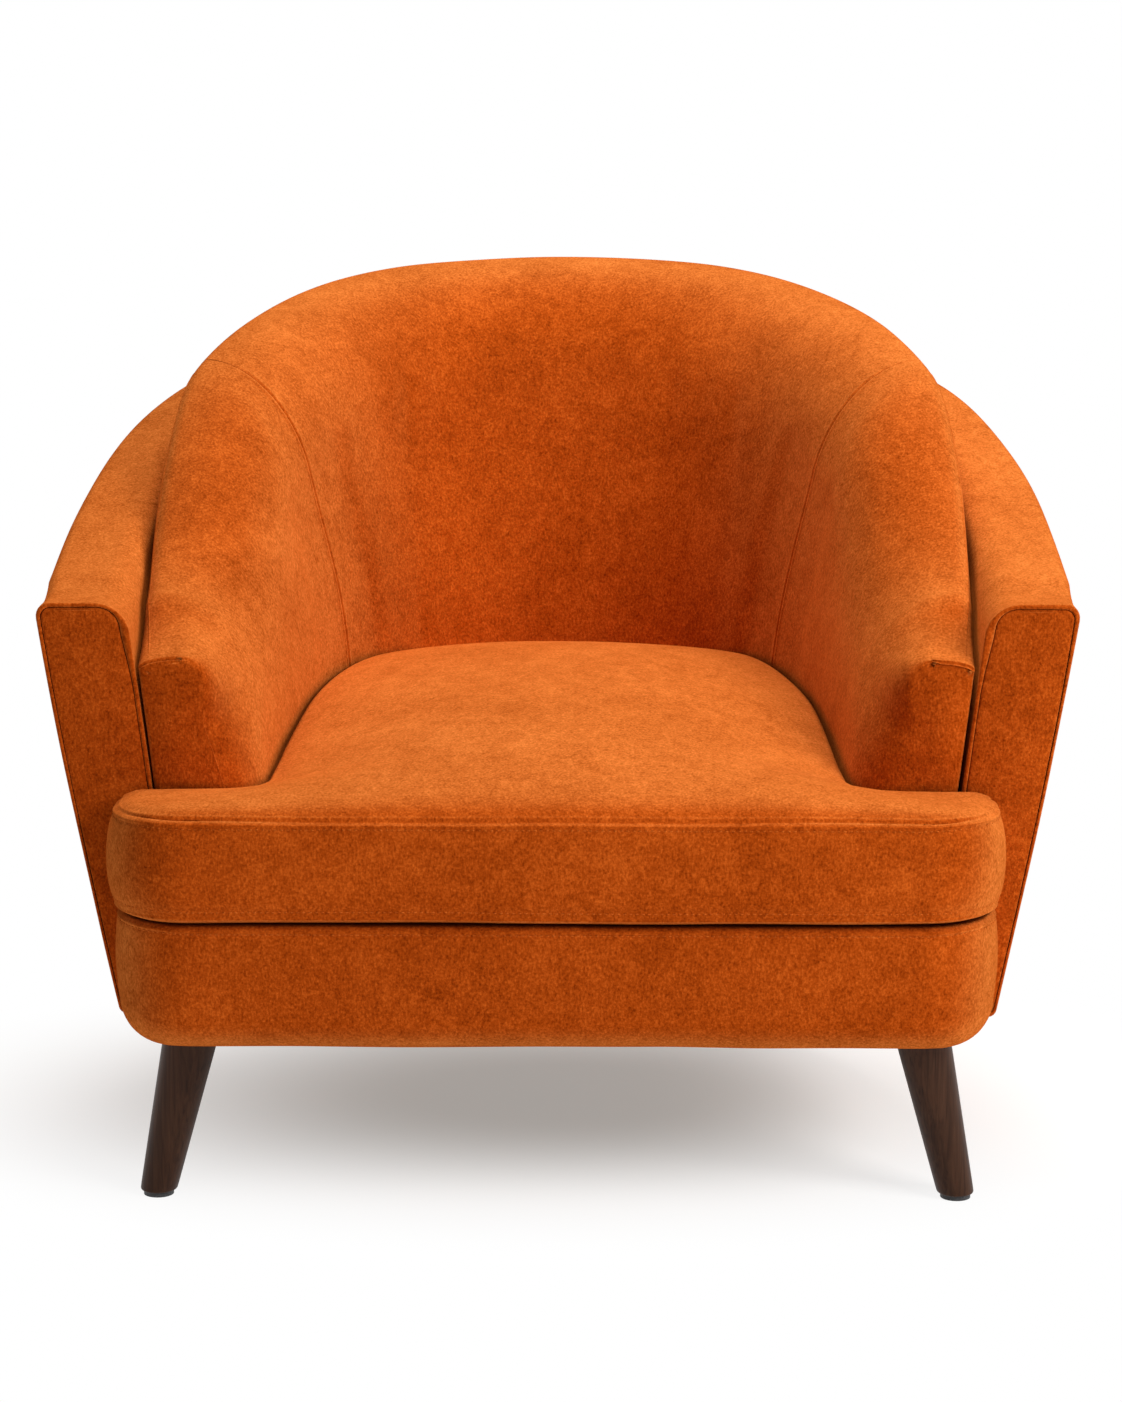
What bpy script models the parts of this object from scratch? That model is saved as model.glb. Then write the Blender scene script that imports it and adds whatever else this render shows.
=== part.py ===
"""Tub armchair with flared outer wings, a loose T-shaped seat cushion and splayed turned legs.

Metres, +Z up, front towards -Y. Left and right are as seen from the front.
"""

import math

import bmesh
import bpy
from mathutils import Matrix, Vector

for old in list(bpy.data.objects):
    bpy.data.objects.remove(old, do_unlink=True)

# Overall size
WIDTH = 0.910  # across the tops of the wings
DEPTH = 0.820  # front of the seat cushion to the outside of the back
HEIGHT = 0.790  # floor to the top of the back

# Heights above the floor
BASE_BOTTOM = 0.162
BASE_HEIGHT = 0.112
ARM_HEIGHT = 0.495  # top of the inner arm at its front
WING_FRONT_HEIGHT = 0.532
WING_BACK_HEIGHT = 0.690

# Wall of the tub, from the inside out
PAD_THICKNESS = 0.095
PANEL_THICKNESS = 0.010
WING_THICKNESS = 0.080  # at the top of the wing's front
BACK_SHELL_THICKNESS = 0.050
FACING_THICKNESS = 0.010
PANEL_SETBACK = 0.030  # end of an arm panel behind the front of the arm

# Slopes, sideways or backwards for each metre of height
ARM_FLARE = 0.12
WING_FLARE = 0.196
BACK_LEAN = 0.22

# Plan of the tub
ARM_SETBACK = 0.125  # front of the arms behind the front of the cushion
ARM_STRAIGHT = 0.085  # straight run of the arms before the round back
PLAN_POWER = 2.25  # 2 is an ellipse, more is squarer

# Turns round the tub: 0 is the middle of the back, 1 the start of the straight arm
TURN_LENGTH = 0.50  # length along a straight arm that counts as one turn
TURN_STEP = 1 / 24
SEAM_TURN = 0.575  # seam between the back pad and an arm pad, at the seat
SEAM_SWEEP = 0.13  # how far that seam swings forward on its way up
SEAM_FADE = 0.20
SETTLE_ROUNDS = 6
SHELL_JOINT_TURN = 0.50  # joint between a wing and the outside back
RAIL_JOINT_TURN = 0.72  # joint between a side rail and the rear rail
CREST_FALL = 0.654  # fall of the back's crest by turn 1, as a share of its height over the arms
CREST_POWER = 2.41
SHOULDER_START = 0.05
SHOULDER_LENGTH = 0.31
WING_RISE_START = 0.123
WING_RISE_LENGTH = 0.695

# Rounding of the padded pieces
ROLL_HEIGHT = 0.105  # the roll over the inner top edge
PAD_EDGE = 0.018
LIP_DEPTH = 0.012  # how far a pad laps over the top of its panel
LIP_EASE = 0.002
LIP_GAP = 0.002  # air under the lap
PAD_FRONT_ROUND = 0.022
PAD_FRONT_EASE = 0.3  # middle step of that round, as a share of it
BACK_BULGE = 0.010
WING_INNER_ROUND = 0.034
WING_OUTER_ROUND = 0.014
WING_OUTER_SHARE = 0.3  # most of a thin wing that its outer round takes
WING_INNER_SHARE = 0.6
FACING_ROUND = 0.003

# Seat base
BAND_OVERHANG = 0.003  # front band past the foot of the wings
BAND_SETBACK = 0.006  # front band behind the front of the cushion
BAND_CORNER = 0.075
BAND_LOWER_ROUND = 0.72  # share of the band's thickness
BAND_UPPER_ROUND = 0.20
RAIL_THICKNESS = 0.022
RAIL_EASE = 0.002
DECK_THICKNESS = 0.005
DUST_COVER_THICKNESS = 0.0012
DUST_COVER_MARGIN = 0.012
SPRING_RAIL_SETBACK = 0.440  # spring rail behind the front of the chair
SPRING_RAIL_HEIGHT = 0.060

# Springs
SPRING_COUNT = 5
SPRING_SPREAD = 0.80  # outer springs apart, as a share of the seat's width
SPRING_WIRE = 0.0036
SPRING_SWING = 0.024
SPRING_LEAD = 0.008  # straight end of the wire at each clip
SPRING_WAVES = 7
SPRING_POINTS_PER_WAVE = 6
CLIP_WIDTH = 0.022
CLIP_THICKNESS = 0.005
CLIP_HEIGHT = 0.018

# Legs
LEG_TOP_RADIUS = 0.0255
LEG_FOOT_RADIUS = 0.0165
LEG_SIDES = 24
LEG_CLEARANCE = 0.004  # dust cover round a leg
FRONT_LEG_EDGE = 0.013  # centre of a front leg from the side of its block
FRONT_LEG_BACK = 0.018  # and from the back of its block
FRONT_LEG_SPLAY = (0.225, 0.03)
REAR_LEG_TURN = 0.34
REAR_LEG_SPLAY = (0.15, 0.30)
GLIDE_RADIUS = 0.0135
GLIDE_HEIGHT = 0.004
BLOCK_LENGTH = 0.068
BLOCK_HEIGHT = 0.055
REAR_BLOCK_DEPTH = 0.044
REAR_BLOCK_TURNS = 0.075  # half its reach round the tub
PLATE_THICKNESS = 0.003
PLATE_SIZE = 0.024
BOLT_RADIUS = 0.004
BOLT_CLEARANCE = 0.0005
BOLT_IN_LEG = 0.028
BOLT_IN_BLOCK = 0.034
BOLT_SIDES = 12

# Seat cushion
BOXING_HEIGHT = 0.090
CUSHION_CROWN = 0.066
CUSHION_CLEARANCE = 0.003
EAR_INSET = 0.021  # ears of the T inside the outer face of the wings
EAR_ROUND = 0.024  # back corner of an ear
EAR_FRONT_ROUND = 0.76  # front corner, as a share of the ear's depth before that
SEAM_DRAW = 0.005  # how far the sewn edges pull in from the boxing
CUSHION_REAR_TURN = 0.05
REAR_FULLNESS = 0.7  # how far the crown reaches past the cushion's edges at the back
CROWN_FRONT_POWER = 3
CROWN_REAR_POWER = 12
BOXING_LEVELS = ((0.0, 1.0), (0.25, 0.25), (0.5, 0.0), (0.75, 0.25), (1.0, 1.0))  # height, share of the draw
EAR_FRONT_STEPS = (0.0, 0.06, 0.22, 0.5, 1.0)
EAR_BACK_STEP = (0.2, 0.4)  # middle step of the round behind an ear, lengthwise and across
UNDERSIDE_SHARES = (-0.6, 0.0, 0.6)
CROWN_SHARES = (0.85, 0.6, 0.3, 0.0, -0.3, -0.6, -0.85)
ZIP_TURN = 0.25
ZIP_HEIGHT = 0.022
ZIP_THICKNESS = 0.0012

# Clearances between touching pieces
GAP = 0.0003
WALL_GAP = 0.0006

SHARP_ANGLE = math.radians(35)  # edges sharper than this are shaded as edges

# Places worked out from the sizes above
FRONT_Y = -DEPTH / 2
ARM_FRONT_Y = FRONT_Y + ARM_SETBACK
CURVE_Y = ARM_FRONT_Y + ARM_STRAIGHT
BASE_TOP = BASE_BOTTOM + BASE_HEIGHT
RAIL_TOP = BASE_TOP - DECK_THICKNESS - GAP
WALL = PAD_THICKNESS + PANEL_THICKNESS + 2 * WALL_GAP
LIP = WALL - WALL_GAP
PAD_BOTTOM = BASE_TOP + GAP
FRONT_TURN = 1 + ARM_STRAIGHT / TURN_LENGTH
PANEL_END_TURN = FRONT_TURN - PANEL_SETBACK / TURN_LENGTH
CUSHION_BOTTOM = BASE_TOP + 2 * GAP
CUSHION_SEAM = CUSHION_BOTTOM + BOXING_HEIGHT
SIDES = {"left": -1, "right": 1}

# Colour, roughness and metallic share of each material
RUST = ((0.46, 0.10, 0.025), 0.9, 0.0)
RUST_DARK = ((0.38, 0.08, 0.02), 0.9, 0.0)
WALNUT = ((0.060, 0.024, 0.012), 0.4, 0.0)
BEECH = ((0.55, 0.38, 0.22), 0.6, 0.0)
PLYWOOD = ((0.62, 0.46, 0.28), 0.7, 0.0)
STEEL = ((0.45, 0.45, 0.47), 0.4, 1.0)
BLACK_CLOTH = ((0.02, 0.02, 0.022), 0.95, 0.0)
FELT = ((0.35, 0.32, 0.28), 0.95, 0.0)
NYLON = ((0.04, 0.04, 0.04), 0.5, 0.0)

armchair = bpy.data.collections.new("armchair")
cutters = bpy.data.collections.new("cutters")
bpy.context.scene.collection.children.link(armchair)
bpy.context.scene.collection.children.link(cutters)

frame_root = bpy.data.objects.new("chair_frame", None)
cushion_root = bpy.data.objects.new("cushion_lift_axis", None)
cushion_root.location = (0, (ARM_FRONT_Y + CURVE_Y) / 2, BASE_TOP)
armchair.objects.link(frame_root)
armchair.objects.link(cushion_root)


def finish(name, look):
    """A plain material of one colour."""
    colour, roughness, metallic = look
    material = bpy.data.materials.new(name + "_finish")
    material.use_nodes = True
    shader = material.node_tree.nodes["Principled BSDF"]
    shader.inputs["Base Color"].default_value = (*colour, 1)
    shader.inputs["Roughness"].default_value = roughness
    shader.inputs["Metallic"].default_value = metallic
    return material


def add_part(name, data, material, parent=frame_root):
    """A named piece of the chair whose data is already in the chair's frame."""
    part = bpy.data.objects.new(name, data)
    armchair.objects.link(part)
    data.materials.append(material)
    part.parent = parent
    part.matrix_parent_inverse = Matrix.Translation(-parent.location)
    return part


def add_mesh(name, bm, material, parent=frame_root):
    """A piece from a bmesh, with its faces turned outwards and its round sides smooth."""
    bmesh.ops.recalc_face_normals(bm, faces=bm.faces)
    mesh = bpy.data.meshes.new(name)
    bm.to_mesh(mesh)
    bm.free()
    mesh.shade_smooth()
    mesh.set_sharp_from_angle(angle=SHARP_ANGLE)
    return add_part(name, mesh, material, parent)


def box(name, low, high, material, bevel=0.0, parent=frame_root):
    """A board or block between two corners, with eased edges if a bevel is given."""
    size = Vector(high) - Vector(low)
    centre = (Vector(high) + Vector(low)) / 2
    bm = bmesh.new()
    bmesh.ops.create_cube(bm, size=1, matrix=Matrix.Translation(centre) @ Matrix.Diagonal((*size, 1)))
    part = add_mesh(name, bm, material, parent)
    if bevel:
        edges = part.modifiers.new("eased_edges", "BEVEL")
        edges.width = bevel
        edges.segments = 1
    return part


def cylinder_bmesh(centre, radius, low, high, sides, top_radius=None):
    """An upright cylinder or cone between two heights."""
    bm = bmesh.new()
    bmesh.ops.create_cone(
        bm,
        cap_ends=True,
        segments=sides,
        radius1=radius,
        radius2=radius if top_radius is None else top_radius,
        depth=high - low,
        matrix=Matrix.Translation((centre[0], centre[1], (low + high) / 2)),
    )
    return bm


def drill(part, centre, radius, low, high):
    """Cuts a round upright hole into a piece."""
    mesh = bpy.data.meshes.new(part.name + "_hole")
    bm = cylinder_bmesh(centre, radius, low, high, BOLT_SIDES)
    bmesh.ops.recalc_face_normals(bm, faces=bm.faces)
    bm.to_mesh(mesh)
    bm.free()
    cutter = bpy.data.objects.new(part.name + "_hole", mesh)
    cutters.objects.link(cutter)
    cutter.hide_render = True
    cutter.display_type = "WIRE"
    cut = part.modifiers.new("bolt_hole", "BOOLEAN")
    cut.operation = "DIFFERENCE"
    cut.object = cutter


def cap(bm, row):
    """Closes a ring with a ladder of triangles that climbs from its first edge."""
    left = [row[0]] + row[:0:-1]
    right = row[1:]
    for step in range((len(row) - 1) // 2):
        bm.faces.new((left[step], right[step], right[step + 1]))
        if left[step + 1] is not right[step + 1]:
            bm.faces.new((left[step], right[step + 1], left[step + 1]))


def loft(name, rings, material, parent=frame_root):
    """A closed solid through rings of as many points, capped at both ends."""
    bm = bmesh.new()
    rows = [[bm.verts.new(point) for point in ring] for ring in rings]
    count = len(rows[0])
    for near, far in zip(rows, rows[1:]):
        for i in range(count):
            j = (i + 1) % count
            bm.faces.new((near[i], near[j], far[j], far[i]))
    for row in (rows[0], rows[-1]):
        cap(bm, row)
    return add_mesh(name, bm, material, parent)


def sheet(name, outline, holes, bottom, thickness, material):
    """A flat sheet from a closed outline with holes, lying on a height."""
    curve = bpy.data.curves.new(name, "CURVE")
    curve.dimensions = "2D"
    curve.fill_mode = "BOTH"
    curve.extrude = thickness / 2
    for points in [outline, *holes]:
        spline = curve.splines.new("POLY")
        spline.points.add(len(points) - 1)
        spline.use_cyclic_u = True
        for target, point in zip(spline.points, points):
            target.co = (point[0], point[1], 0, 1)
    part = add_part(name, curve, material)
    part.location.z = bottom + thickness / 2
    return part


def circle(centre, radius, sides):
    steps = [2 * math.pi * i / sides for i in range(sides)]
    return [(centre[0] + radius * math.cos(a), centre[1] + radius * math.sin(a)) for a in steps]


def ease(x):
    """Smooth climb from 0 to 1."""
    x = min(max(x, 0.0), 1.0)
    return x * x * (3 - 2 * x)


def outer_reach(z):
    """Half width and rear reach of the outside of the chair at a height."""
    across = WIDTH / 2 - WING_FLARE * (WING_FRONT_HEIGHT - z)
    rear = DEPTH / 2 - CURVE_Y - BACK_LEAN * (WING_BACK_HEIGHT - z)
    return across, rear


def inner_reach(z):
    """Half width and rear reach of the inside of the tub at a height."""
    across = WIDTH / 2 - WING_THICKNESS - WALL - ARM_FLARE * (WING_FRONT_HEIGHT - z)
    rear = outer_reach(z)[1] - BACK_SHELL_THICKNESS - WALL
    return across, rear


def plan(turn, across, rear, z):
    """The point at a turn round a plan with straight arms and a round back."""
    swing = min(abs(turn), 1)
    angle = swing * math.pi / 2
    x = math.copysign(across * math.sin(angle) ** (2 / PLAN_POWER), turn)
    y = CURVE_Y + rear * max(math.cos(angle), 0) ** (2 / PLAN_POWER)
    y -= (abs(turn) - swing) * TURN_LENGTH
    return Vector((x, y, z))


def tub(turn, out, z):
    """A point at a distance outside the tub's inner face."""
    across, rear = inner_reach(z)
    return plan(turn, across + out, rear + out, z)


def shell(turn, share, z):
    """A point between the wing's inner face, share 0, and its outer face, share 1."""
    return tub(turn, WALL, z).lerp(plan(turn, *outer_reach(z), z), share)


def shell_thickness(turn, z):
    return (shell(turn, 1, z) - shell(turn, 0, z)).length


def turn_at(y):
    """The turn at a place on the straight arm."""
    return 1 + (CURVE_Y - y) / TURN_LENGTH


def stations(start, end):
    """Turns from start to end, on the same steps for every piece so that their facets match."""
    first = math.floor(start / TURN_STEP + 1) * TURN_STEP
    inside = [first + i * TURN_STEP for i in range(int((end - first) / TURN_STEP) + 1)]
    return [start] + [turn for turn in inside if start + 1e-4 < turn < end - 1e-4] + [end]


def pad_top(turn):
    """Height of the inner arm and back: low at the arm, a steep shoulder, then a shallow arch."""
    past = 1 - abs(turn)
    crest = (HEIGHT - ARM_HEIGHT) * (1 - CREST_FALL * abs(turn) ** CREST_POWER)
    return ARM_HEIGHT + crest * ease((past + SHOULDER_START) / SHOULDER_LENGTH)


def wing_top(turn):
    """Height of the outer wing: level at the front, then climbing to the back."""
    past = 1 - abs(turn)
    climb = ease((past + WING_RISE_START) / WING_RISE_LENGTH)
    return WING_FRONT_HEIGHT + (WING_BACK_HEIGHT - WING_FRONT_HEIGHT) * climb


def seam_shift(z):
    """How far the seam between back and arm has swung forward at a height."""
    return SEAM_SWEEP * ease((z - CUSHION_SEAM) / (HEIGHT - CUSHION_SEAM))


def arc(centre, radii, start, end, steps):
    """Points on an elliptic arc between two angles in degrees."""
    angles = [math.radians(start + (end - start) * i / steps) for i in range(steps + 1)]
    return [(centre[0] + radii[0] * math.cos(a), centre[1] + radii[1] * math.sin(a)) for a in angles]


def pad_section(top, step, foot_out, bulge, inset):
    """Section of an inner pad as distance outwards and height, drawn in at its ends by the inset.

    The pad laps over the top of its panel, and over the panel's front where foot_out is LIP.
    """
    inner = LIP - PAD_EDGE
    roll = top - ROLL_HEIGHT
    foot = min(CUSHION_SEAM, (PAD_BOTTOM + roll) / 2)
    shares = (0, 1 / 3, 2 / 3)
    points = [(0, PAD_BOTTOM), (foot_out, PAD_BOTTOM)]
    points += [(foot_out, foot + (min(roll, step) - foot) * share) for share in shares]
    points += [(foot_out, step), (LIP, step + LIP_EASE)]
    points += arc((inner, top - PAD_EDGE), (PAD_EDGE, PAD_EDGE), 0, 60, 2)
    points += arc((inner, roll), (inner, ROLL_HEIGHT), 90, 180, 6)
    for share in reversed(shares):
        points.append((-bulge * math.sin(math.pi * share), foot + (roll - foot) * share))
    middle = (LIP / 2, (PAD_BOTTOM + top) / 2)
    drawn = (1 - inset / middle[0], 1 - 2 * inset / (top - PAD_BOTTOM))
    return [tuple(m + (p - m) * k for p, m, k in zip(point, middle, drawn)) for point in points]


def settle(height, turn, slant):
    """The height of an edge on a slanted line, where the turn itself depends on the height."""
    z = height(turn)
    for _ in range(SETTLE_ROUNDS):
        z = height(slant(turn, z))
    return z


def make_pad(name, turns, slant, insets, material):
    """An inner pad over a run of turns, with the ends slanted along their seams."""
    rings = []
    for turn, inset in zip(turns, insets):
        top = settle(pad_top, turn, slant)
        bulge = BACK_BULGE * max(math.cos(min(abs(turn), 1) * math.pi / 2), 0)
        step = settle(panel_top, turn, slant)
        past_panel = abs(turn) > PANEL_END_TURN
        section = pad_section(top, step, LIP if past_panel else PAD_THICKNESS, bulge, inset)
        rings.append([tub(slant(turn, z), out, z) for out, z in section])
    return loft(name, rings, material)


def slant_back(turn, z):
    fade = ease((abs(turn) - SEAM_TURN + SEAM_FADE) / SEAM_FADE)
    return turn + math.copysign(seam_shift(z) * fade, turn)


def slant_arm(turn, z):
    fade = 1 - ease((abs(turn) - SEAM_TURN) / SEAM_FADE)
    return turn + math.copysign(seam_shift(z) * fade, turn)


def make_back_pad():
    end = SEAM_TURN - WALL_GAP / TURN_LENGTH
    turns = stations(-end, end)
    make_pad("back_pad", turns, slant_back, [0] * len(turns), finish("back_pad", RUST))


def make_arm_pad(name, side):
    start = SEAM_TURN + WALL_GAP / TURN_LENGTH
    rounding = PAD_FRONT_ROUND / TURN_LENGTH
    step = GAP / TURN_LENGTH
    turns = stations(start, PANEL_END_TURN) + [PANEL_END_TURN + step, FRONT_TURN - rounding]
    insets = [0] * len(turns) + [PAD_FRONT_EASE * PAD_FRONT_ROUND, PAD_FRONT_ROUND]
    turns += [FRONT_TURN - PAD_FRONT_EASE * rounding, FRONT_TURN]
    make_pad(name, [side * turn for turn in turns], slant_arm, insets, finish(name, RUST))


def wing_section(turn, inset=0.0):
    """Section of the outer wing as share of its thickness and height."""
    top = wing_top(turn) - inset
    low = BASE_BOTTOM + inset
    thick = shell_thickness(turn, top)
    margin = inset / thick
    outer = min(WING_OUTER_ROUND, thick * WING_OUTER_SHARE)
    inner = min(WING_INNER_ROUND, thick * WING_INNER_SHARE)
    near, far = margin, 1 - margin
    points = [(near, low), (far, low), (far, (low + top) / 2)]
    points += arc((far - outer / thick, top - outer), (outer / thick, outer), 0, 90, 3)
    points += arc((near + inner / thick, top - inner), (inner / thick, inner), 90, 180, 4)
    points.append((near, (low + top) / 2))
    return points


def make_shell(name, turns, insets):
    """A piece of the outer wall: a wing, its facing or the outside back."""
    rings = []
    for turn, inset in zip(turns, insets):
        rings.append([shell(turn, share, z) for share, z in wing_section(turn, inset)])
    loft(name, rings, finish(name, RUST_DARK))


def make_wing(side_name, side):
    start = SHELL_JOINT_TURN + WALL_GAP / TURN_LENGTH
    facing_back = turn_at(ARM_FRONT_Y + FACING_THICKNESS)
    turns = stations(start, facing_back - GAP / TURN_LENGTH)
    make_shell("wing_pad_" + side_name, [side * turn for turn in turns], [0] * len(turns))
    rounding = FACING_ROUND / TURN_LENGTH
    turns = [facing_back, FRONT_TURN - rounding, FRONT_TURN]
    make_shell("wing_facing_" + side_name, [side * turn for turn in turns], [0, 0, FACING_ROUND])


def make_outside_back():
    end = SHELL_JOINT_TURN - WALL_GAP / TURN_LENGTH
    turns = stations(-end, end)
    make_shell("outside_back", turns, [0] * len(turns))


def bent_board(name, turns, near, far, low, high, material):
    """A board that follows the tub between two distances and two heights."""
    rings = []
    for turn in turns:
        top = high(turn)
        middle = (low + top) / 2
        corners = [(near, low), (far, low), (far, middle), (far, top), (near, top), (near, middle)]
        rings.append([tub(turn, out, z) for out, z in corners])
    return loft(name, rings, material)


def panel_top(turn):
    """Height where a pad starts to lap over its panel."""
    return min(pad_top(turn) - PAD_EDGE - LIP_DEPTH, wing_top(turn) - WING_INNER_ROUND)


def panel_edge(turn):
    return panel_top(turn) - LIP_GAP


def make_panels():
    near = PAD_THICKNESS + WALL_GAP
    far = near + PANEL_THICKNESS
    joint = SHELL_JOINT_TURN - WALL_GAP / TURN_LENGTH
    turns = stations(-joint, joint)
    bent_board("back_panel", turns, near, far, BASE_BOTTOM, panel_edge, finish("back_panel", PLYWOOD))
    start = SHELL_JOINT_TURN + WALL_GAP / TURN_LENGTH
    turns = stations(start, PANEL_END_TURN - GAP / TURN_LENGTH)
    for side_name, side in SIDES.items():
        name = "arm_panel_" + side_name
        run = [side * turn for turn in turns]
        bent_board(name, run, near, far, BASE_BOTTOM, panel_edge, finish(name, PLYWOOD))


def band_half():
    """Half width of the front band."""
    return outer_reach(BASE_BOTTOM)[0] + BAND_OVERHANG


def band_inside():
    """Half width of the space that the front band wraps."""
    return inner_reach(BASE_TOP)[0] + PAD_THICKNESS + GAP


def band_front():
    return FRONT_Y + BAND_SETBACK


def front_rail_front():
    return band_front() + band_half() - band_inside() + GAP


def front_rail_back():
    return front_rail_front() + RAIL_THICKNESS


def make_front_band():
    """The padded band round the front of the base, bent round both corners."""
    thick = band_half() - band_inside()
    end_y = ARM_FRONT_Y - WALL_GAP
    corner = (band_half() - BAND_CORNER, band_front() + BAND_CORNER)
    inner_corner = RAIL_EASE / 2
    inner_centre = (band_inside() - inner_corner, band_front() + thick + inner_corner)
    outside = [(-band_half(), end_y)]
    outside += arc((-corner[0], corner[1]), (BAND_CORNER, BAND_CORNER), 180, 270, 8)
    outside += arc(corner, (BAND_CORNER, BAND_CORNER), 270, 360, 8)
    outside.append((band_half(), end_y))
    inside = [(-band_inside(), end_y)]
    inside += arc((-inner_centre[0], inner_centre[1]), (inner_corner, inner_corner), 180, 270, 8)
    inside += arc(inner_centre, (inner_corner, inner_corner), 270, 360, 8)
    inside.append((band_inside(), end_y))
    lower, upper = BAND_LOWER_ROUND * thick, BAND_UPPER_ROUND * thick
    section = [(0, BASE_BOTTOM)]
    section += arc((1 - lower / thick, BASE_BOTTOM + lower), (lower / thick, lower), 270, 360, 4)
    section += arc((1 - upper / thick, BASE_TOP - upper), (upper / thick, upper), 0, 90, 3)
    section.append((0, BASE_TOP))
    rings = []
    for near, far in zip(inside, outside):
        near_point, far_point = Vector((*near, 0)), Vector((*far, 0))
        rings.append([near_point.lerp(far_point, share) + Vector((0, 0, z)) for share, z in section])
    loft("front_band", rings, finish("front_band", RUST))


def rail_top(turn):
    return RAIL_TOP


def make_rails():
    half = band_inside() - GAP
    low = (-half, front_rail_front(), BASE_BOTTOM)
    box("front_rail", low, (half, front_rail_back(), RAIL_TOP), finish("front_rail", BEECH), RAIL_EASE)
    near, far = PAD_THICKNESS - RAIL_THICKNESS, PAD_THICKNESS
    joint = WALL_GAP / TURN_LENGTH
    for side_name, side in SIDES.items():
        turns = stations(RAIL_JOINT_TURN + joint, turn_at(ARM_FRONT_Y + GAP))
        name = "side_rail_" + side_name
        run = [side * turn for turn in turns]
        bent_board(name, run, near, far, BASE_BOTTOM, rail_top, finish(name, BEECH))
    end = RAIL_JOINT_TURN - joint
    turns = stations(-end, end)
    bent_board("rear_rail", turns, near, far, BASE_BOTTOM, rail_top, finish("rear_rail", BEECH))
    back = spring_rail_front() + RAIL_THICKNESS
    half = rail_space(back, RAIL_TOP - SPRING_RAIL_HEIGHT) - WALL_GAP
    low = (-half, spring_rail_front(), RAIL_TOP - SPRING_RAIL_HEIGHT)
    box("spring_rail", low, (half, back, RAIL_TOP), finish("spring_rail", BEECH))


def spring_rail_front():
    return FRONT_Y + SPRING_RAIL_SETBACK


def rail_space(y, z):
    """Half the clear width between the bent rails at a place and height."""
    across, rear = inner_reach(z)
    across += PAD_THICKNESS - RAIL_THICKNESS
    rear += PAD_THICKNESS - RAIL_THICKNESS
    share = max(y - CURVE_Y, 0) / rear
    return across * (1 - share**PLAN_POWER) ** (1 / PLAN_POWER)


def leg_places():
    """Centre of each leg at its top, with its splay."""
    places = {}
    for side_name, side in SIDES.items():
        x = side * (band_inside() - FRONT_LEG_EDGE)
        splay = (side * FRONT_LEG_SPLAY[0], FRONT_LEG_SPLAY[1])
        places["front_" + side_name] = ((x, ARM_FRONT_Y - FRONT_LEG_BACK), splay)
        middle = PAD_THICKNESS - RAIL_THICKNESS - REAR_BLOCK_DEPTH / 2
        point = tub(side * REAR_LEG_TURN, middle, BASE_BOTTOM)
        places["rear_" + side_name] = ((point.x, point.y), (side * REAR_LEG_SPLAY[0], REAR_LEG_SPLAY[1]))
    return places


def make_leg_blocks(places):
    low, high = BASE_BOTTOM + PLATE_THICKNESS + GAP, BASE_BOTTOM + BLOCK_HEIGHT
    for corner, (centre, _) in places.items():
        name = "leg_block_" + corner
        side = math.copysign(1, centre[0])
        if corner.startswith("front"):
            ends = sorted((side * (band_inside() - GAP), side * (band_inside() - BLOCK_LENGTH)))
            block = box(
                name,
                (ends[0], front_rail_back() + GAP, low),
                (ends[1], ARM_FRONT_Y - GAP, high),
                finish(name, BEECH),
            )
        else:
            turns = stations(REAR_LEG_TURN - REAR_BLOCK_TURNS, REAR_LEG_TURN + REAR_BLOCK_TURNS)
            far = PAD_THICKNESS - RAIL_THICKNESS - WALL_GAP
            run = [side * turn for turn in turns]
            near = far - REAR_BLOCK_DEPTH
            block = bent_board(name, run, near, far, low, lambda turn: high, finish(name, BEECH))
        hole = BASE_BOTTOM + BOLT_IN_BLOCK + BOLT_CLEARANCE
        drill(block, centre, BOLT_RADIUS + BOLT_CLEARANCE, BASE_BOTTOM - BOLT_IN_LEG, hole)


def make_leg(corner, centre, splay):
    """A tapered round leg, its foot glide, and the plate and bolt that hold it."""
    low, high = GLIDE_HEIGHT + GAP, BASE_BOTTOM - GAP
    name = "leg_" + corner
    bm = cylinder_bmesh(centre, LEG_FOOT_RADIUS, low, high, LEG_SIDES, LEG_TOP_RADIUS)
    for vert in bm.verts:
        drop = high - vert.co.z
        vert.co.x += splay[0] * drop
        vert.co.y += splay[1] * drop
    leg = add_mesh(name, bm, finish(name, WALNUT))
    clear = BOLT_RADIUS + BOLT_CLEARANCE
    drill(leg, centre, clear, BASE_BOTTOM - BOLT_IN_LEG - BOLT_CLEARANCE, BASE_BOTTOM + BOLT_IN_BLOCK)

    name = "leg_plate_" + corner
    half = PLATE_SIZE / 2
    low_corner = (centre[0] - half, centre[1] - half, BASE_BOTTOM)
    high_corner = (centre[0] + half, centre[1] + half, BASE_BOTTOM + PLATE_THICKNESS)
    plate = box(name, low_corner, high_corner, finish(name, STEEL))
    drill(plate, centre, clear, BASE_BOTTOM - BOLT_IN_LEG, BASE_BOTTOM + BOLT_IN_BLOCK)

    name = "leg_bolt_" + corner
    ends = (BASE_BOTTOM - BOLT_IN_LEG, BASE_BOTTOM + BOLT_IN_BLOCK)
    add_mesh(name, cylinder_bmesh(centre, BOLT_RADIUS, *ends, BOLT_SIDES), finish(name, STEEL))

    name = "glide_" + corner
    foot = [c + s * (high - low) for c, s in zip(centre, splay)]
    add_mesh(name, cylinder_bmesh(foot, GLIDE_RADIUS, 0, GLIDE_HEIGHT, LEG_SIDES), finish(name, NYLON))


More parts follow.
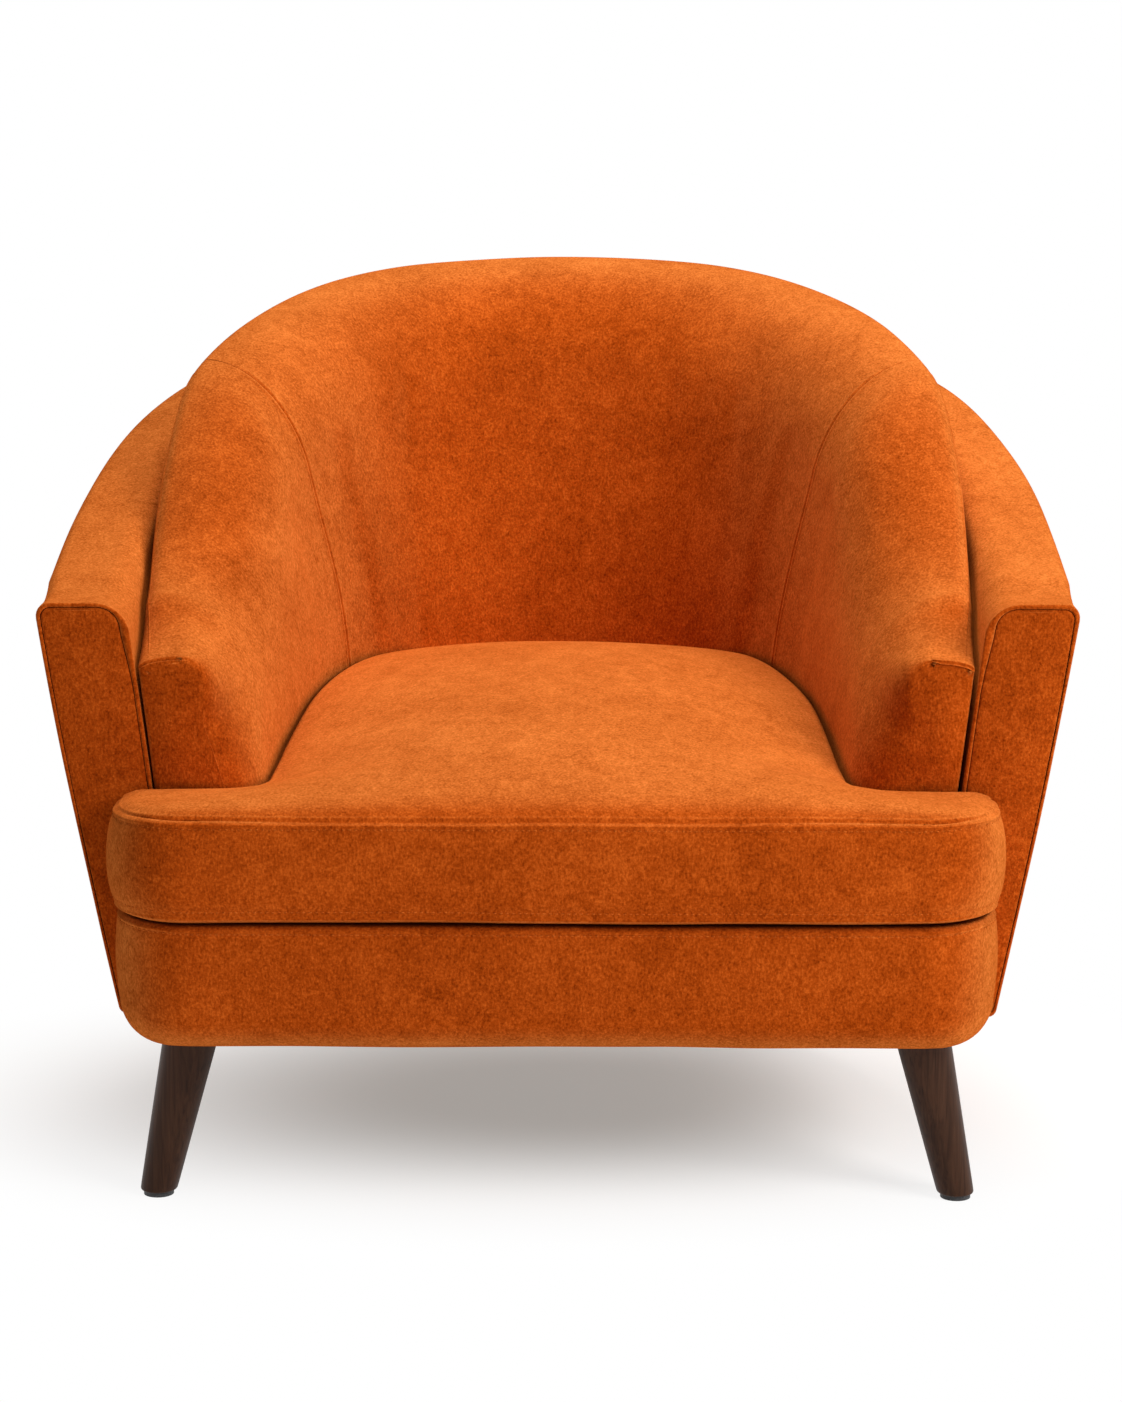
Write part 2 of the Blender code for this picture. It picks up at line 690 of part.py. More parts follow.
def make_springs():
    """Zigzag wire springs from the front rail to the spring rail, each held by two clips."""
    start = front_rail_back() + GAP
    end = spring_rail_front() - GAP
    wire_z = RAIL_TOP - SPRING_WIRE / 2
    outermost = SPRING_SPREAD * inner_reach(BASE_TOP)[0]
    for i in range(SPRING_COUNT):
        x = outermost * (2 * i / (SPRING_COUNT - 1) - 1)
        for place, near in (("front", start), ("rear", end - CLIP_THICKNESS)):
            name = f"spring_clip_{place}_{i + 1}"
            low = (x - CLIP_WIDTH / 2, near, RAIL_TOP - CLIP_HEIGHT)
            high = (x + CLIP_WIDTH / 2, near + CLIP_THICKNESS, RAIL_TOP)
            box(name, low, high, finish(name, STEEL))
        first = start + CLIP_THICKNESS + GAP
        last = end - CLIP_THICKNESS - GAP
        name = f"spring_{i + 1}"
        curve = bpy.data.curves.new(name, "CURVE")
        curve.dimensions = "3D"
        curve.bevel_depth = SPRING_WIRE / 2
        curve.bevel_resolution = 1
        curve.use_fill_caps = True
        count = SPRING_WAVES * SPRING_POINTS_PER_WAVE
        route = [(x, first)]
        for step in range(count + 1):
            share = step / count
            swing = SPRING_SWING * math.sin(2 * math.pi * SPRING_WAVES * share)
            run = last - first - 2 * SPRING_LEAD
            route.append((x + swing, first + SPRING_LEAD + run * share))
        route.append((x, last))
        spline = curve.splines.new("POLY")
        spline.points.add(len(route) - 1)
        for point, place in zip(spline.points, route):
            point.co = (*place, wire_z, 1)
        add_part(name, curve, finish(name, STEEL))


def base_outline(out, z, front):
    """Outline of the base at a height, from the front left round the back to the front right."""
    turns = stations(-turn_at(front), turn_at(front))
    return [tub(turn, out, z)[:2] for turn in turns]


def make_sheets(places):
    deck = base_outline(PAD_THICKNESS - GAP, RAIL_TOP, front_rail_front() + GAP)
    sheet("seat_deck", deck, [], RAIL_TOP + GAP, DECK_THICKNESS - GAP, finish("seat_deck", FELT))

    clear = LEG_TOP_RADIUS + LEG_CLEARANCE
    notch_x = band_inside() - FRONT_LEG_EDGE - clear
    notch_y = ARM_FRONT_Y - FRONT_LEG_BACK + clear
    front = front_rail_front() + DUST_COVER_MARGIN
    cover = [(-notch_x, front), (-notch_x, notch_y)]
    cover += base_outline(PAD_THICKNESS - DUST_COVER_MARGIN, BASE_BOTTOM, notch_y)
    cover += [(notch_x, notch_y), (notch_x, front)]
    rear_legs = [centre for corner, (centre, _) in places.items() if corner.startswith("rear")]
    holes = [circle(centre, clear, LEG_SIDES) for centre in rear_legs]
    bottom = BASE_BOTTOM - GAP - DUST_COVER_THICKNESS
    sheet("dust_cover", cover, holes, bottom, DUST_COVER_THICKNESS, finish("dust_cover", BLACK_CLOTH))


def crown_at(x, y, rear_y, half):
    """How far the cushion's top stands above its front seam."""
    share = (y - FRONT_Y) / (rear_y - FRONT_Y)
    lengthwise = max(1 - (1 - share) ** CROWN_FRONT_POWER, 0) * max(1 - share**CROWN_REAR_POWER, 0)
    return CUSHION_CROWN * lengthwise * (1 - min(abs(x) / half, 1) ** 2)


def make_cushion():
    """The loose T-shaped cushion: ears in front of the arms, a body that fits the tub, a crowned top."""
    ear_half = outer_reach(BASE_TOP)[0] - EAR_INSET
    ear_back = ARM_FRONT_Y - CUSHION_CLEARANCE
    rear_y = tub(0, -CUSHION_CLEARANCE, CUSHION_SEAM).y
    neck_half = tub(1, -CUSHION_CLEARANCE, CUSHION_SEAM).x
    sections = []

    def edge_of_ear(y, narrower):
        return lambda z, draw: (ear_half - narrower - draw, y)

    def edge_of_body(turn):
        def edge(z, draw):
            point = tub(turn, -CUSHION_CLEARANCE - draw, z)
            return abs(point.x), point.y

        return edge

    front_round = EAR_FRONT_ROUND * (ear_back - EAR_ROUND - FRONT_Y)
    for share in EAR_FRONT_STEPS:
        narrower = front_round * (1 - math.sqrt(1 - (1 - share) ** 2))
        sections.append((edge_of_ear(FRONT_Y + front_round * share, narrower), SEAM_DRAW * (1 - share) / 4))
    lengthwise, across = EAR_BACK_STEP
    sections.append((edge_of_ear(ear_back - EAR_ROUND, 0), 0))
    sections.append((edge_of_ear(ear_back - EAR_ROUND * lengthwise, EAR_ROUND * across), 0))
    for turn in reversed(stations(CUSHION_REAR_TURN, turn_at(ear_back))):
        sections.append((edge_of_body(turn), 0))

    rings = []
    for edge, squeeze in sections:
        low, high = CUSHION_BOTTOM + squeeze, CUSHION_SEAM - squeeze
        seam_x, crown_y = edge(CUSHION_SEAM, SEAM_DRAW)
        if crown_y < ear_back:
            half = ear_half + (neck_half - ear_half) * (crown_y - FRONT_Y) / (ear_back - FRONT_Y)
        else:
            half = seam_x * (1 + REAR_FULLNESS * ease((crown_y - ear_back) / (rear_y - ear_back)))
        lift = crown_at(seam_x, crown_y, rear_y, half)
        foot_x, foot_y = edge(CUSHION_BOTTOM, SEAM_DRAW)
        ring = [(across * foot_x, foot_y, low) for across in UNDERSIDE_SHARES]
        right, left = [], []
        for share, drawn in BOXING_LEVELS:
            z = low + (high + lift - low) * share
            edge_x, edge_y = edge(z, drawn * SEAM_DRAW)
            right.append((edge_x, edge_y, z))
            left.append((-edge_x, edge_y, z))
        ring += right
        for across in CROWN_SHARES:
            x = across * seam_x
            ring.append((x, edge_y, high + crown_at(x, crown_y, rear_y, half)))
        ring += reversed(left)
        rings.append(ring)
    loft("seat_cushion", rings, finish("seat_cushion", RUST), cushion_root)

    near = GAP - CUSHION_CLEARANCE
    middle = CUSHION_BOTTOM + BOXING_HEIGHT / 2
    zip_rings = []
    half_run = stations(CUSHION_REAR_TURN, ZIP_TURN)
    for turn in [-turn for turn in reversed(half_run)] + half_run:
        low, high = middle - ZIP_HEIGHT / 2, middle + ZIP_HEIGHT / 2
        corners = [(near, low), (near + ZIP_THICKNESS, low), (near + ZIP_THICKNESS, high), (near, high)]
        zip_rings.append([tub(turn, out, z) for out, z in corners])
    loft("cushion_zip", zip_rings, finish("cushion_zip", NYLON), cushion_root)


legs = leg_places()
make_rails()
make_leg_blocks(legs)
for leg_corner, (leg_centre, leg_splay) in legs.items():
    make_leg(leg_corner, leg_centre, leg_splay)
make_springs()
make_sheets(legs)
make_panels()
make_back_pad()
for wall_side, wall_sign in SIDES.items():
    make_arm_pad("arm_pad_" + wall_side, wall_sign)
    make_wing(wall_side, wall_sign)
make_outside_back()
make_front_band()
make_cushion()
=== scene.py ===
import math

import bmesh
import bpy
import numpy as np
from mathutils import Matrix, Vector, noise
from mathutils.bvhtree import BVHTree
from mathutils.kdtree import KDTree


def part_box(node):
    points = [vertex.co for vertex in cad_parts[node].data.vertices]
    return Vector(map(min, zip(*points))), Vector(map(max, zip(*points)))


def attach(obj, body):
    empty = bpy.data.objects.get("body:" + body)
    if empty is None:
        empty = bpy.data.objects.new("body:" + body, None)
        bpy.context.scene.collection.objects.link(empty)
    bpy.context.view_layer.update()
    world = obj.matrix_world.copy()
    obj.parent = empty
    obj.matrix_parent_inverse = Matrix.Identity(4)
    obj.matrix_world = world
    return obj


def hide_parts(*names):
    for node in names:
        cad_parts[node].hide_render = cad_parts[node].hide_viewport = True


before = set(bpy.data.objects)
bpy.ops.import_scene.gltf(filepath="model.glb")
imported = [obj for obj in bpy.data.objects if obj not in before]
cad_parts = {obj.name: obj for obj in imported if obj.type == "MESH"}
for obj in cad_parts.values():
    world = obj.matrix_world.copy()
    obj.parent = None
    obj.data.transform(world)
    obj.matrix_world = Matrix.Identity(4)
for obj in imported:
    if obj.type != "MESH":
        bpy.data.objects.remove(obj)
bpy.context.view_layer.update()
print("frame loaded with", len(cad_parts), "nodes")

# Form of the chair in metres, +Z up, front towards -Y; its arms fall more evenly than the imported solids
form = {
    "width": 0.910,
    "depth": 0.820,
    "height": 0.790,
    "baseBottom": 0.162,
    "baseTop": 0.274,
    "armHeight": 0.495,
    "wingFrontHeight": 0.532,
    "wingBackHeight": 0.690,
    "padThick": 0.095,
    "panelThick": 0.010,
    "wingThick": 0.080,
    "backShell": 0.050,
    "panelSetback": 0.030,
    "armFlare": 0.12,
    "wingFlare": 0.196,
    "backLean": 0.22,
    "armSetback": 0.125,
    "armStraight": 0.085,
    "planPower": 2.25,
    "turnLength": 0.50,
    "seamTurn": 0.575,
    "seamSweep": 0.13,
    "seamFade": 0.20,
    "shellJoint": 0.50,
    "crestFall": 0.654,
    "crestPower": 2.41,
    "shoulderStart": 0.175,
    "shoulderLength": 0.47,
    "wingRiseStart": 0.123,
    "wingRiseLength": 0.695,
    "wallGap": 0.0006,
    "boxing": 0.090,
    "ruleOut": 0.05,  # lengths along the wall are taken this far out of its inner face
}
frontY = -form["depth"] / 2
armFrontY = frontY + form["armSetback"]
curveY = armFrontY + form["armStraight"]
wall = form["padThick"] + form["panelThick"] + 2 * form["wallGap"]
lip = wall - form["wallGap"]
padLow = form["baseTop"] + form["wallGap"] / 2
cushionLow = form["baseTop"] + form["wallGap"]
cushionSeam = cushionLow + form["boxing"]
sides = {"Left": -1, "Right": 1}


def ease(x):
    x = np.clip(x, 0, 1)
    return x * x * (3 - 2 * x)


def rise(x, start, length):
    return ease((x - start) / length)


def blend(a, b, share):
    return a + (b - a) * share


def bell(x, middle, width):
    return np.exp(-(((x - middle) / width) ** 2))


def arch(count):
    return np.sin(np.pi * np.linspace(0, 1, count))


def unit(rows):
    return rows / np.maximum(np.linalg.norm(rows, axis=1, keepdims=True), 1e-9)


def runAlong(points):
    return np.concatenate([[0], np.cumsum(np.linalg.norm(np.diff(points, axis=0), axis=1))])


def treeOf(points):
    tree = KDTree(len(points))
    for index, point in enumerate(points):
        tree.insert(point, index)
    tree.balance()
    return tree


def outerReach(z):
    across = form["width"] / 2 - form["wingFlare"] * (form["wingFrontHeight"] - z)
    rear = form["depth"] / 2 - curveY - form["backLean"] * (form["wingBackHeight"] - z)
    return across, rear


def innerReach(z):
    drop = form["wingFrontHeight"] - z
    across = form["width"] / 2 - form["wingThick"] - wall - form["armFlare"] * drop
    return across, outerReach(z)[1] - form["backShell"] - wall


def plan(turn, across, rear, z):
    # turn 0 is the middle of the back, 1 the start of the straight arm
    swing = np.minimum(np.abs(turn), 1)
    angle = swing * np.pi / 2
    power = 2 / form["planPower"]
    x = np.sign(turn) * across * np.sin(angle) ** power
    y = curveY + rear * np.maximum(np.cos(angle), 0) ** power
    y = y - (np.abs(turn) - swing) * form["turnLength"]
    return np.stack(np.broadcast_arrays(x, y, z), axis=-1)


def tub(turn, out, z):
    across, rear = innerReach(z)
    return plan(turn, across + out, rear + out, z)


def shellPoint(turn, share, z):
    return blend(tub(turn, wall, z), plan(turn, *outerReach(z), z), np.asarray(share)[..., None])


def turnAt(y):
    return 1 + (curveY - y) / form["turnLength"]


def padTop(turn):
    swing = np.abs(turn)
    crest = (form["height"] - form["armHeight"]) * (1 - form["crestFall"] * swing ** form["crestPower"])
    return form["armHeight"] + crest * rise(1 - swing, -form["shoulderStart"], form["shoulderLength"])


def wingTop(turn):
    climb = rise(1 - np.abs(turn), -form["wingRiseStart"], form["wingRiseLength"])
    return blend(form["wingFrontHeight"], form["wingBackHeight"], climb)


def seamShift(z):
    return form["seamSweep"] * rise(z, cushionSeam, form["height"] - cushionSeam)


def slant(turn, z):
    # the seam of back and arm leans forward with height, and the covers beside it go along
    fade = ease(1 - np.abs(np.abs(turn) - form["seamTurn"]) / form["seamFade"])
    return turn + np.sign(turn) * seamShift(z) * fade


def settle(height, turn):
    z = height(turn)
    for _ in range(8):
        z = height(slant(turn, z))
    return z


def evenTurns(start, end, count, z=0.5):
    # turns that are evenly spaced along the wall at one height
    fine = np.linspace(start, end, 800)
    run = runAlong(tub(fine, form["ruleOut"], np.full(800, z)))
    return np.interp(np.linspace(0, run[-1], count), run, fine)


def turnLengthAt(turn, z=0.55, half=0.005):
    ends = tub(np.array([turn - half, turn + half]), form["ruleOut"], np.full(2, z))
    return np.linalg.norm(ends[1] - ends[0]) / (2 * half)


# Sewn seams: groove and ridge beside it, as distance from the seam and how far the cover is drawn in
seam = {
    "steps": np.array([0, 0.5, 1.1, 1.9, 2.9, 4.2, 6.0, 9.0]) / 1000,
    "joint": 0.0001,
    "groove": 0.0002,
    "grooveWidth": 0.0009,
    "ridge": 0.0006,
    "ridgeAt": 0.0028,
    "ridgeWidth": 0.0014,
    "crestFade": (0.012, 0.050),
}


def seamDraw(distance, look=seam):
    groove = look["groove"] * bell(distance, 0, look["grooveWidth"])
    return groove - look["ridge"] * bell(distance, look["ridgeAt"], look["ridgeWidth"])


def sewnWall(end, count):
    # turns of a wall that is sewn at both ends, and how far its cover is drawn in at each
    steps = seam["steps"] / turnLengthAt(end)
    draws = seamDraw(seam["steps"])[:-1]
    middle = evenTurns(-end + steps[-1], end - steps[-1], count)
    turns = np.concatenate([-end + steps[:-1], middle, (end - steps[:-1])[::-1]])
    return turns, np.concatenate([draws, np.zeros(count), draws[::-1]])


def frontWall(start, frontSteps, count):
    # turns of a wall from its rear seam to the front, how far the seam draws it in, distance behind the front
    steps = seam["steps"] / turnLengthAt(start)
    frontTurns = turnAt(armFrontY + frontSteps[::-1])
    middle = evenTurns(start + steps[-1], frontTurns[0], count)[:-1]
    turns = np.concatenate([start + steps[:-1], middle, frontTurns])
    draws, behind = np.zeros(len(turns)), np.full(len(turns), np.inf)
    draws[:len(steps) - 1] = seamDraw(seam["steps"])[:-1]
    behind[-len(frontTurns):] = frontSteps[::-1]
    return turns, draws, behind


def sectionNormals(ring):
    # outward normals of a closed section given as (out, height), inner side first
    along = np.roll(ring, -1, axis=0) - np.roll(ring, 1, axis=0)
    return unit(np.stack([-along[:, 1], along[:, 0]], axis=1))


def lineNormals(line):
    along = np.gradient(line, axis=0)
    return unit(np.stack([along[:, 1], -along[:, 0]], axis=1))


def arcPoints(centre, radii, start, end, count):
    angle = np.radians(np.linspace(start, end, count))
    return np.stack([centre[0] + radii[0] * np.cos(angle), centre[1] + radii[1] * np.sin(angle)], axis=1)


def linePoints(start, end, count):
    return blend(np.array(start), np.array(end), np.linspace(0, 1, count)[:, None])


def spread(chain, count):
    # the same line with evenly spaced points
    run = runAlong(chain)
    places = np.linspace(0, run[-1], count)
    return np.stack([np.interp(places, run, chain[:, i]) for i in range(chain.shape[1])], axis=1)


def closeRing(grid):
    return np.concatenate([grid, grid[:, :1]], axis=1)


def endCap(ring, columns):
    # a grid between the two sides of a section
    half = len(ring) // 2
    return blend(ring[:half, None], ring[half:][::-1, None], np.linspace(0, 1, columns)[None, :, None])


covers = {}


def newObject(name, data):
    made = bpy.data.objects.new(name, data)
    bpy.context.scene.collection.objects.link(made)
    return made


def placePiece(name, mesh, material, body, node):
    mesh.materials.append(material)
    piece = newObject(name, mesh)
    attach(piece, body)
    if node:
        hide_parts(node)
    return piece


def roughen(mesh, size, height, seed):
    # slow unevenness of hand-laid padding
    normals = [vert.normal.copy() for vert in mesh.vertices]
    shift = Vector((seed * 3.1, seed * 1.7, seed * 2.3))
    for vert, normal in zip(mesh.vertices, normals):
        vert.co += normal * (height * noise.noise(vert.co / size + shift))
    mesh.update()


def addPiece(name, grids, material, body, node=None, uneven=None, weld=2e-5):
    verts, faces = [], []
    for grid in grids:
        rows, columns = grid.shape[:2]
        start = len(verts)
        verts.extend(grid.reshape(-1, 3).tolist())
        for row in range(rows - 1):
            for column in range(columns - 1):
                a = start + row * columns + column
                faces.append((a, a + 1, a + columns + 1, a + columns))
    mesh = bpy.data.meshes.new(name)
    mesh.from_pydata(verts, [], faces)
    bm = bmesh.new()
    bm.from_mesh(mesh)
    bmesh.ops.remove_doubles(bm, verts=bm.verts, dist=weld)
    bmesh.ops.dissolve_degenerate(bm, dist=1e-6, edges=bm.edges)
    bmesh.ops.recalc_face_normals(bm, faces=bm.faces)
    bm.to_mesh(mesh)
    bm.free()
    mesh.shade_smooth()
    piece = placePiece(name, mesh, material, body, node)
    if uneven:
        roughen(mesh, *uneven)
    covers[name] = piece


def addCover(name, rings, columns, node, uneven):
    grids = [closeRing(rings), endCap(rings[0], columns), endCap(rings[-1], columns)]
    addPiece(name, grids, velvet, "chair", node, uneven)


def nodeTools(tree):
    # fill sets a node's sockets: another node's output is linked, anything else is a value
    def fill(node, sockets):
        for key, value in sockets.items():
            if isinstance(value, bpy.types.NodeSocket):
                tree.links.new(value, node.inputs[key])
            else:
                node.inputs[key].default_value = value
        return node

    def add(kind, sockets, **values):
        node = tree.nodes.new("ShaderNode" + kind)
        for key, value in values.items():
            setattr(node, key, value)
        return fill(node, sockets)

    return add, fill


def newMaterial(name):
    material = bpy.data.materials.new(name)
    material.use_nodes = True
    add, fill = nodeTools(material.node_tree)
    return material, add, fill, material.node_tree.nodes["Principled BSDF"]


def ownPlace(add):
    return add("TexCoord", {}).outputs["Object"]


def addStretch(add, place, scale):
    return add("Mapping", {"Vector": place, "Scale": scale}).outputs["Vector"]


def addNoise(add, place, scale, detail, roughness, distortion):
    sockets = {"Vector": place, "Scale": scale, "Detail": detail, "Roughness": roughness}
    return add("TexNoise", {**sockets, "Distortion": distortion}).outputs["Fac"]


def addMath(add, operation, *values):
    return add("Math", dict(enumerate(values)), operation=operation).outputs[0]


def addRange(add, value, ends, top=1.0):
    sockets = {"Value": value, "From Min": ends[0], "From Max": ends[1], "To Max": top}
    return add("MapRange", sockets, interpolation_type="SMOOTHSTEP").outputs["Result"]


def addMix(add, factor, first, second):
    return add("Mix", {"Factor": factor, 6: first, 7: second}, data_type="RGBA").outputs[2]


def addRamp(add, tone, ends, colours):
    ramp = add("ValToRGB", {"Fac": tone})
    stops = ramp.color_ramp.elements
    stops[0].position, stops[1].position = ends
    if len(colours) > 2:
        stops.new(0.50)
    for stop, colour in zip(stops, colours):
        stop.color = (*colour, 1)
    return ramp.outputs["Color"]


def addBump(add, height, strength, distance):
    return add("Bump", {"Strength": strength, "Distance": distance, "Height": height}).outputs["Normal"]


# Velvet: a mottled nap, brushed patches and a fine grain; each noise has scale, detail, roughness, distortion
velvetLook = {
    "shades": [(0.22, 0.028, 0.0016), (0.43, 0.064, 0.0045), (0.66, 0.122, 0.0120)],
    # painted sheen: paler colours mixed in where the velvet is seen edge on
    "paintedSheenShades": [(0.42, 0.090, 0.0105), (0.66, 0.184, 0.0330), (0.86, 0.284, 0.0620)],
    "rampEnds": (0.22, 0.78),
    "noises": {
        "patch": (9, 4.0, 0.6, 0.6),
        "brush": (40, 3.0, 0.6, 1.8),
        "fibre": (1, 2.0, 0.6, 0.0),
        "grain": (430, 2.0, 0.7, 0.0),
    },
    "weights": {"patch": 0.36, "brush": 0.42, "fibre": 0.55, "grain": 0.80},
    "fibreScale": (560, 560, 240),
    # painted sheen: the facing range and the most of the paler colour that is mixed in
    "paintedSheenFrom": (0.10, 0.64),
    "paintedSheenShare": 0.62,
    # painted shade in seams and creases: occlusion reach, samples, occlusion range and its deep red-brown
    # colour
    "paintedShadeReach": 0.016,
    "paintedShadeSamples": 4,
    "paintedShadeFrom": (0.10, 0.62),
    "paintedShadeColour": (0.020, 0.0014, 0.0002),
    "grainRelief": 0.6,
    "bump": (0.32, 0.0014),
    "roughness": 0.92,
    "sheen": 0.36,
    "sheenRoughness": 0.35,
    "sheenTint": (1.0, 0.21, 0.03),
}


def makeVelvet(name, look):
    material, add, fill, shader = newMaterial(name)
    place = ownPlace(add)
    places = {"fibre": addStretch(add, place, look["fibreScale"])}
    naps = {part: addNoise(add, places.get(part, place), *values) for part, values in look["noises"].items()}
    tone = 0.5 - sum(look["weights"].values()) / 2  # keeps the mean at one half
    for part, weight in look["weights"].items():
        tone = addMath(add, "MULTIPLY_ADD", naps[part], weight, tone)
    deep, pale = [addRamp(add, tone, look["rampEnds"], look[part]) for part in ("shades", "paintedSheenShades")]
    edgeOn = add("LayerWeight", {"Blend": 0.5}).outputs["Facing"]
    paintedSheen = addRange(add, edgeOn, look["paintedSheenFrom"], look["paintedSheenShare"])  # painted sheen: paler colour mixed in where the surface is seen edge on
    # painted shade: ambient occlusion darkens the velvet's colour in seams, creases and slits
    paintedShade = add("AmbientOcclusion", {"Distance": look["paintedShadeReach"]}, samples=look["paintedShadeSamples"])
    free = addRange(add, paintedShade.outputs["AO"], look["paintedShadeFrom"])  # painted shade: the colour turns deep red-brown where ambient occlusion finds a seam or crease
    cloth = addMix(add, free, (*look["paintedShadeColour"], 1), addMix(add, paintedSheen, deep, pale))
    height = addMath(add, "MULTIPLY_ADD", naps["grain"], look["grainRelief"], naps["fibre"])
    fill(shader, {
        "Base Color": cloth,
        "Normal": addBump(add, height, *look["bump"]),
        "Roughness": look["roughness"],
        "Specular IOR Level": 0.0,
        "Sheen Weight": look["sheen"],
        "Sheen Roughness": look["sheenRoughness"],
        "Sheen Tint": (*look["sheenTint"], 1),
    })
    return material


velvet = makeVelvet("rustVelvet", velvetLook)
print("velvet ready")

# Inner back and arms; pairs are a start and a length
padForm = {
    "roll": 0.105,
    "edge": 0.018,
    "frontEdge": 0.040,
    "frontEdgeTall": 0.010,
    "flatten": (0.95, 0.20),
    "lipDepth": 0.012,
    "wingRound": 0.034,
    "slit": 0.0022,
    "panelLap": (0.002, 0.012),
    "bulge": 0.006,
    "innerCount": 22,
    "rollCount": 28,
    "edgeCount": 10,
    "backCount": 110,
    "armCount": 52,
    "splay": 0.012,
    "splayTurns": (0.85, 0.30),
    "frontTopRound": 0.0045,
    "frontInner": (0.044, 0.042),  # depth and length of the rounded front down the inner side
    "frontRoll": (0.050, 0.084),  # and over the roll
    "frontBlend": (0.0015, 0.090),
    "frontDown": 0.05,
    "frontFall": 0.012,
    "fallLength": 0.070,
    "fallDepth": 0.140,
    "dartLength": 0.010,
    "dartFade": 0.012,
    "dartDepth": 0.0020,
    "dartAt": 0.0019,
    "dartWidth": 0.0006,
    "dimple": 0.0005,
    "dimpleRun": (0.016, 0.007),  # middle and width, along the section
    "dimpleBehind": (0.006, 0.008),  # and behind the front
    "frontBulge": 0.0035,
    "uneven": (0.14, 0.0020, 1),  # the same on back and arms, so that they meet at the seam
    "frontSteps": np.array([0, 0.4, 0.9, 1.3, 1.6, 1.9, 2.2, 2.5, 2.9, 3.5, 4.5, 6, 8, 11, 15, 20, 26, 33,
                            41, 50, 60, 72, 85]) / 1000,
}


def panelStep(turn):
    underLip = padTop(turn) - padForm["edge"] - padForm["lipDepth"]
    return np.minimum(underLip, wingTop(turn) - padForm["wingRound"])


def crestShape(turn):
    # how far out a pad's crest lies and how tall its outer edge is: the top flattens towards the arm's front
    flat = rise(np.abs(turn), *padForm["flatten"])
    wide = blend(padForm["edge"], padForm["frontEdge"], flat)
    return lip - wide, blend(padForm["edge"], padForm["frontEdgeTall"], flat)


def splay(turn):
    # the arm's inner face opens a little towards the front
    return padForm["splay"] * rise(np.abs(turn), *padForm["splayTurns"])


def padChains(turn):
    # inner and outer side of a pad's section, both from the foot to the crest
    top, step = settle(padTop, turn), settle(panelStep, turn)
    inner, tall = crestShape(turn)
    rollZ = top - padForm["roll"]
    bulge = padForm["bulge"] * max(math.cos(min(abs(turn), 1) * math.pi / 2), 0)
    face = linePoints((0, padLow), (0, rollZ), padForm["innerCount"])
    share = np.clip((face[:, 1] - cushionSeam) / max(rollZ - cushionSeam, 1e-3), 0, 1)
    opened = float(splay(turn))
    face[:, 0] = opened - bulge * np.sin(np.pi * share) ** 2
    roll = arcPoints((inner, rollZ), (inner - opened, padForm["roll"]), 180, 90, padForm["rollCount"] + 1)[1:]
    chainIn = np.concatenate([face, roll])
    heights = np.linspace(padLow, top - tall, len(chainIn) - padForm["edgeCount"])
    panelEnd = turnAt(armFrontY) - form["panelSetback"] / form["turnLength"]
    foot = blend(form["padThick"], lip, rise(abs(turn) - panelEnd, *padForm["panelLap"]))
    outer = lip - padForm["slit"]  # keeps a dark slit open beside the wing
    outs = np.where(heights < step, np.minimum(foot, outer), outer)
    edge = arcPoints((inner, top - tall), (outer - inner, tall), 0, 90, padForm["edgeCount"] + 1)[1:]
    return chainIn, np.concatenate([np.stack([outs, heights], axis=1), edge])


def crestRun(chainIn):
    # distance of each point of the inner side from the crest
    return runAlong(chainIn[::-1])[::-1]


def sewnDraw(depth):
    # a seam down the inner side that runs out flat at the crest
    def drawn(section, chainIn):
        fade = rise(crestRun(chainIn), *seam["crestFade"])
        return depth * np.concatenate([fade, np.zeros(len(section) - len(chainIn))])

    return drawn


def armDraw(behind):
    # how far the arm's front is rounded off at a distance behind it: tight at the outer corner, full inside
    def drawn(section, chainIn):
        run = crestRun(chainIn)
        wide = rise(run, *padForm["frontBlend"])
        down = rise(chainIn[-1, 1] - chainIn[:, 1], padForm["frontDown"], padForm["roll"])
        tight = padForm["frontTopRound"]
        outside = np.full(len(section) - len(chainIn), tight)
        depth, length = [np.concatenate([blend(tight, blend(overRoll, inside, down), wide), outside])
                         for overRoll, inside in zip(padForm["frontRoll"], padForm["frontInner"])]
        left = np.clip(1 - behind / length, 0, None)
        rounded = depth * (1 - np.sqrt(np.maximum(1 - left**2, 0)))
        fold = padForm["dartDepth"] * bell(behind, padForm["dartAt"], padForm["dartWidth"])
        dimple = padForm["dimple"] * bell(behind, *padForm["dimpleBehind"]) * bell(run, *padForm["dimpleRun"])
        rounded[:len(run)] += fold * ease((padForm["dartLength"] - run) / padForm["dartFade"]) + dimple
        rounded[len(run):len(run) + padForm["edgeCount"]] += fold
        return rounded

    return drawn


def padRing(turn, drawn, fall=0.0):
    chainIn, chainOut = padChains(turn)
    section = np.concatenate([chainIn, chainOut[::-1]])
    normals = sectionNormals(section)
    normals[0], normals[-1] = normals[1], normals[-2]  # the foot stays level
    section = section - normals * drawn(section, chainIn)[:, None]
    section[:, 1] -= fall * rise(section[:, 1], chainIn[-1, 1] - padForm["fallDepth"], padForm["fallDepth"])
    return tub(slant(turn, section[:, 1]), section[:, 0], section[:, 1])


def makeBackPad():
    walls = sewnWall(form["seamTurn"] - seam["joint"] / form["turnLength"], padForm["backCount"])
    rings = np.array([padRing(turn, sewnDraw(draw)) for turn, draw in zip(*walls)])
    addCover("backCover", rings, 8, "back_pad", padForm["uneven"])


def frontFall(behind):
    return padForm["frontFall"] * np.clip(1 - behind / padForm["fallLength"], 0, 1) ** 2


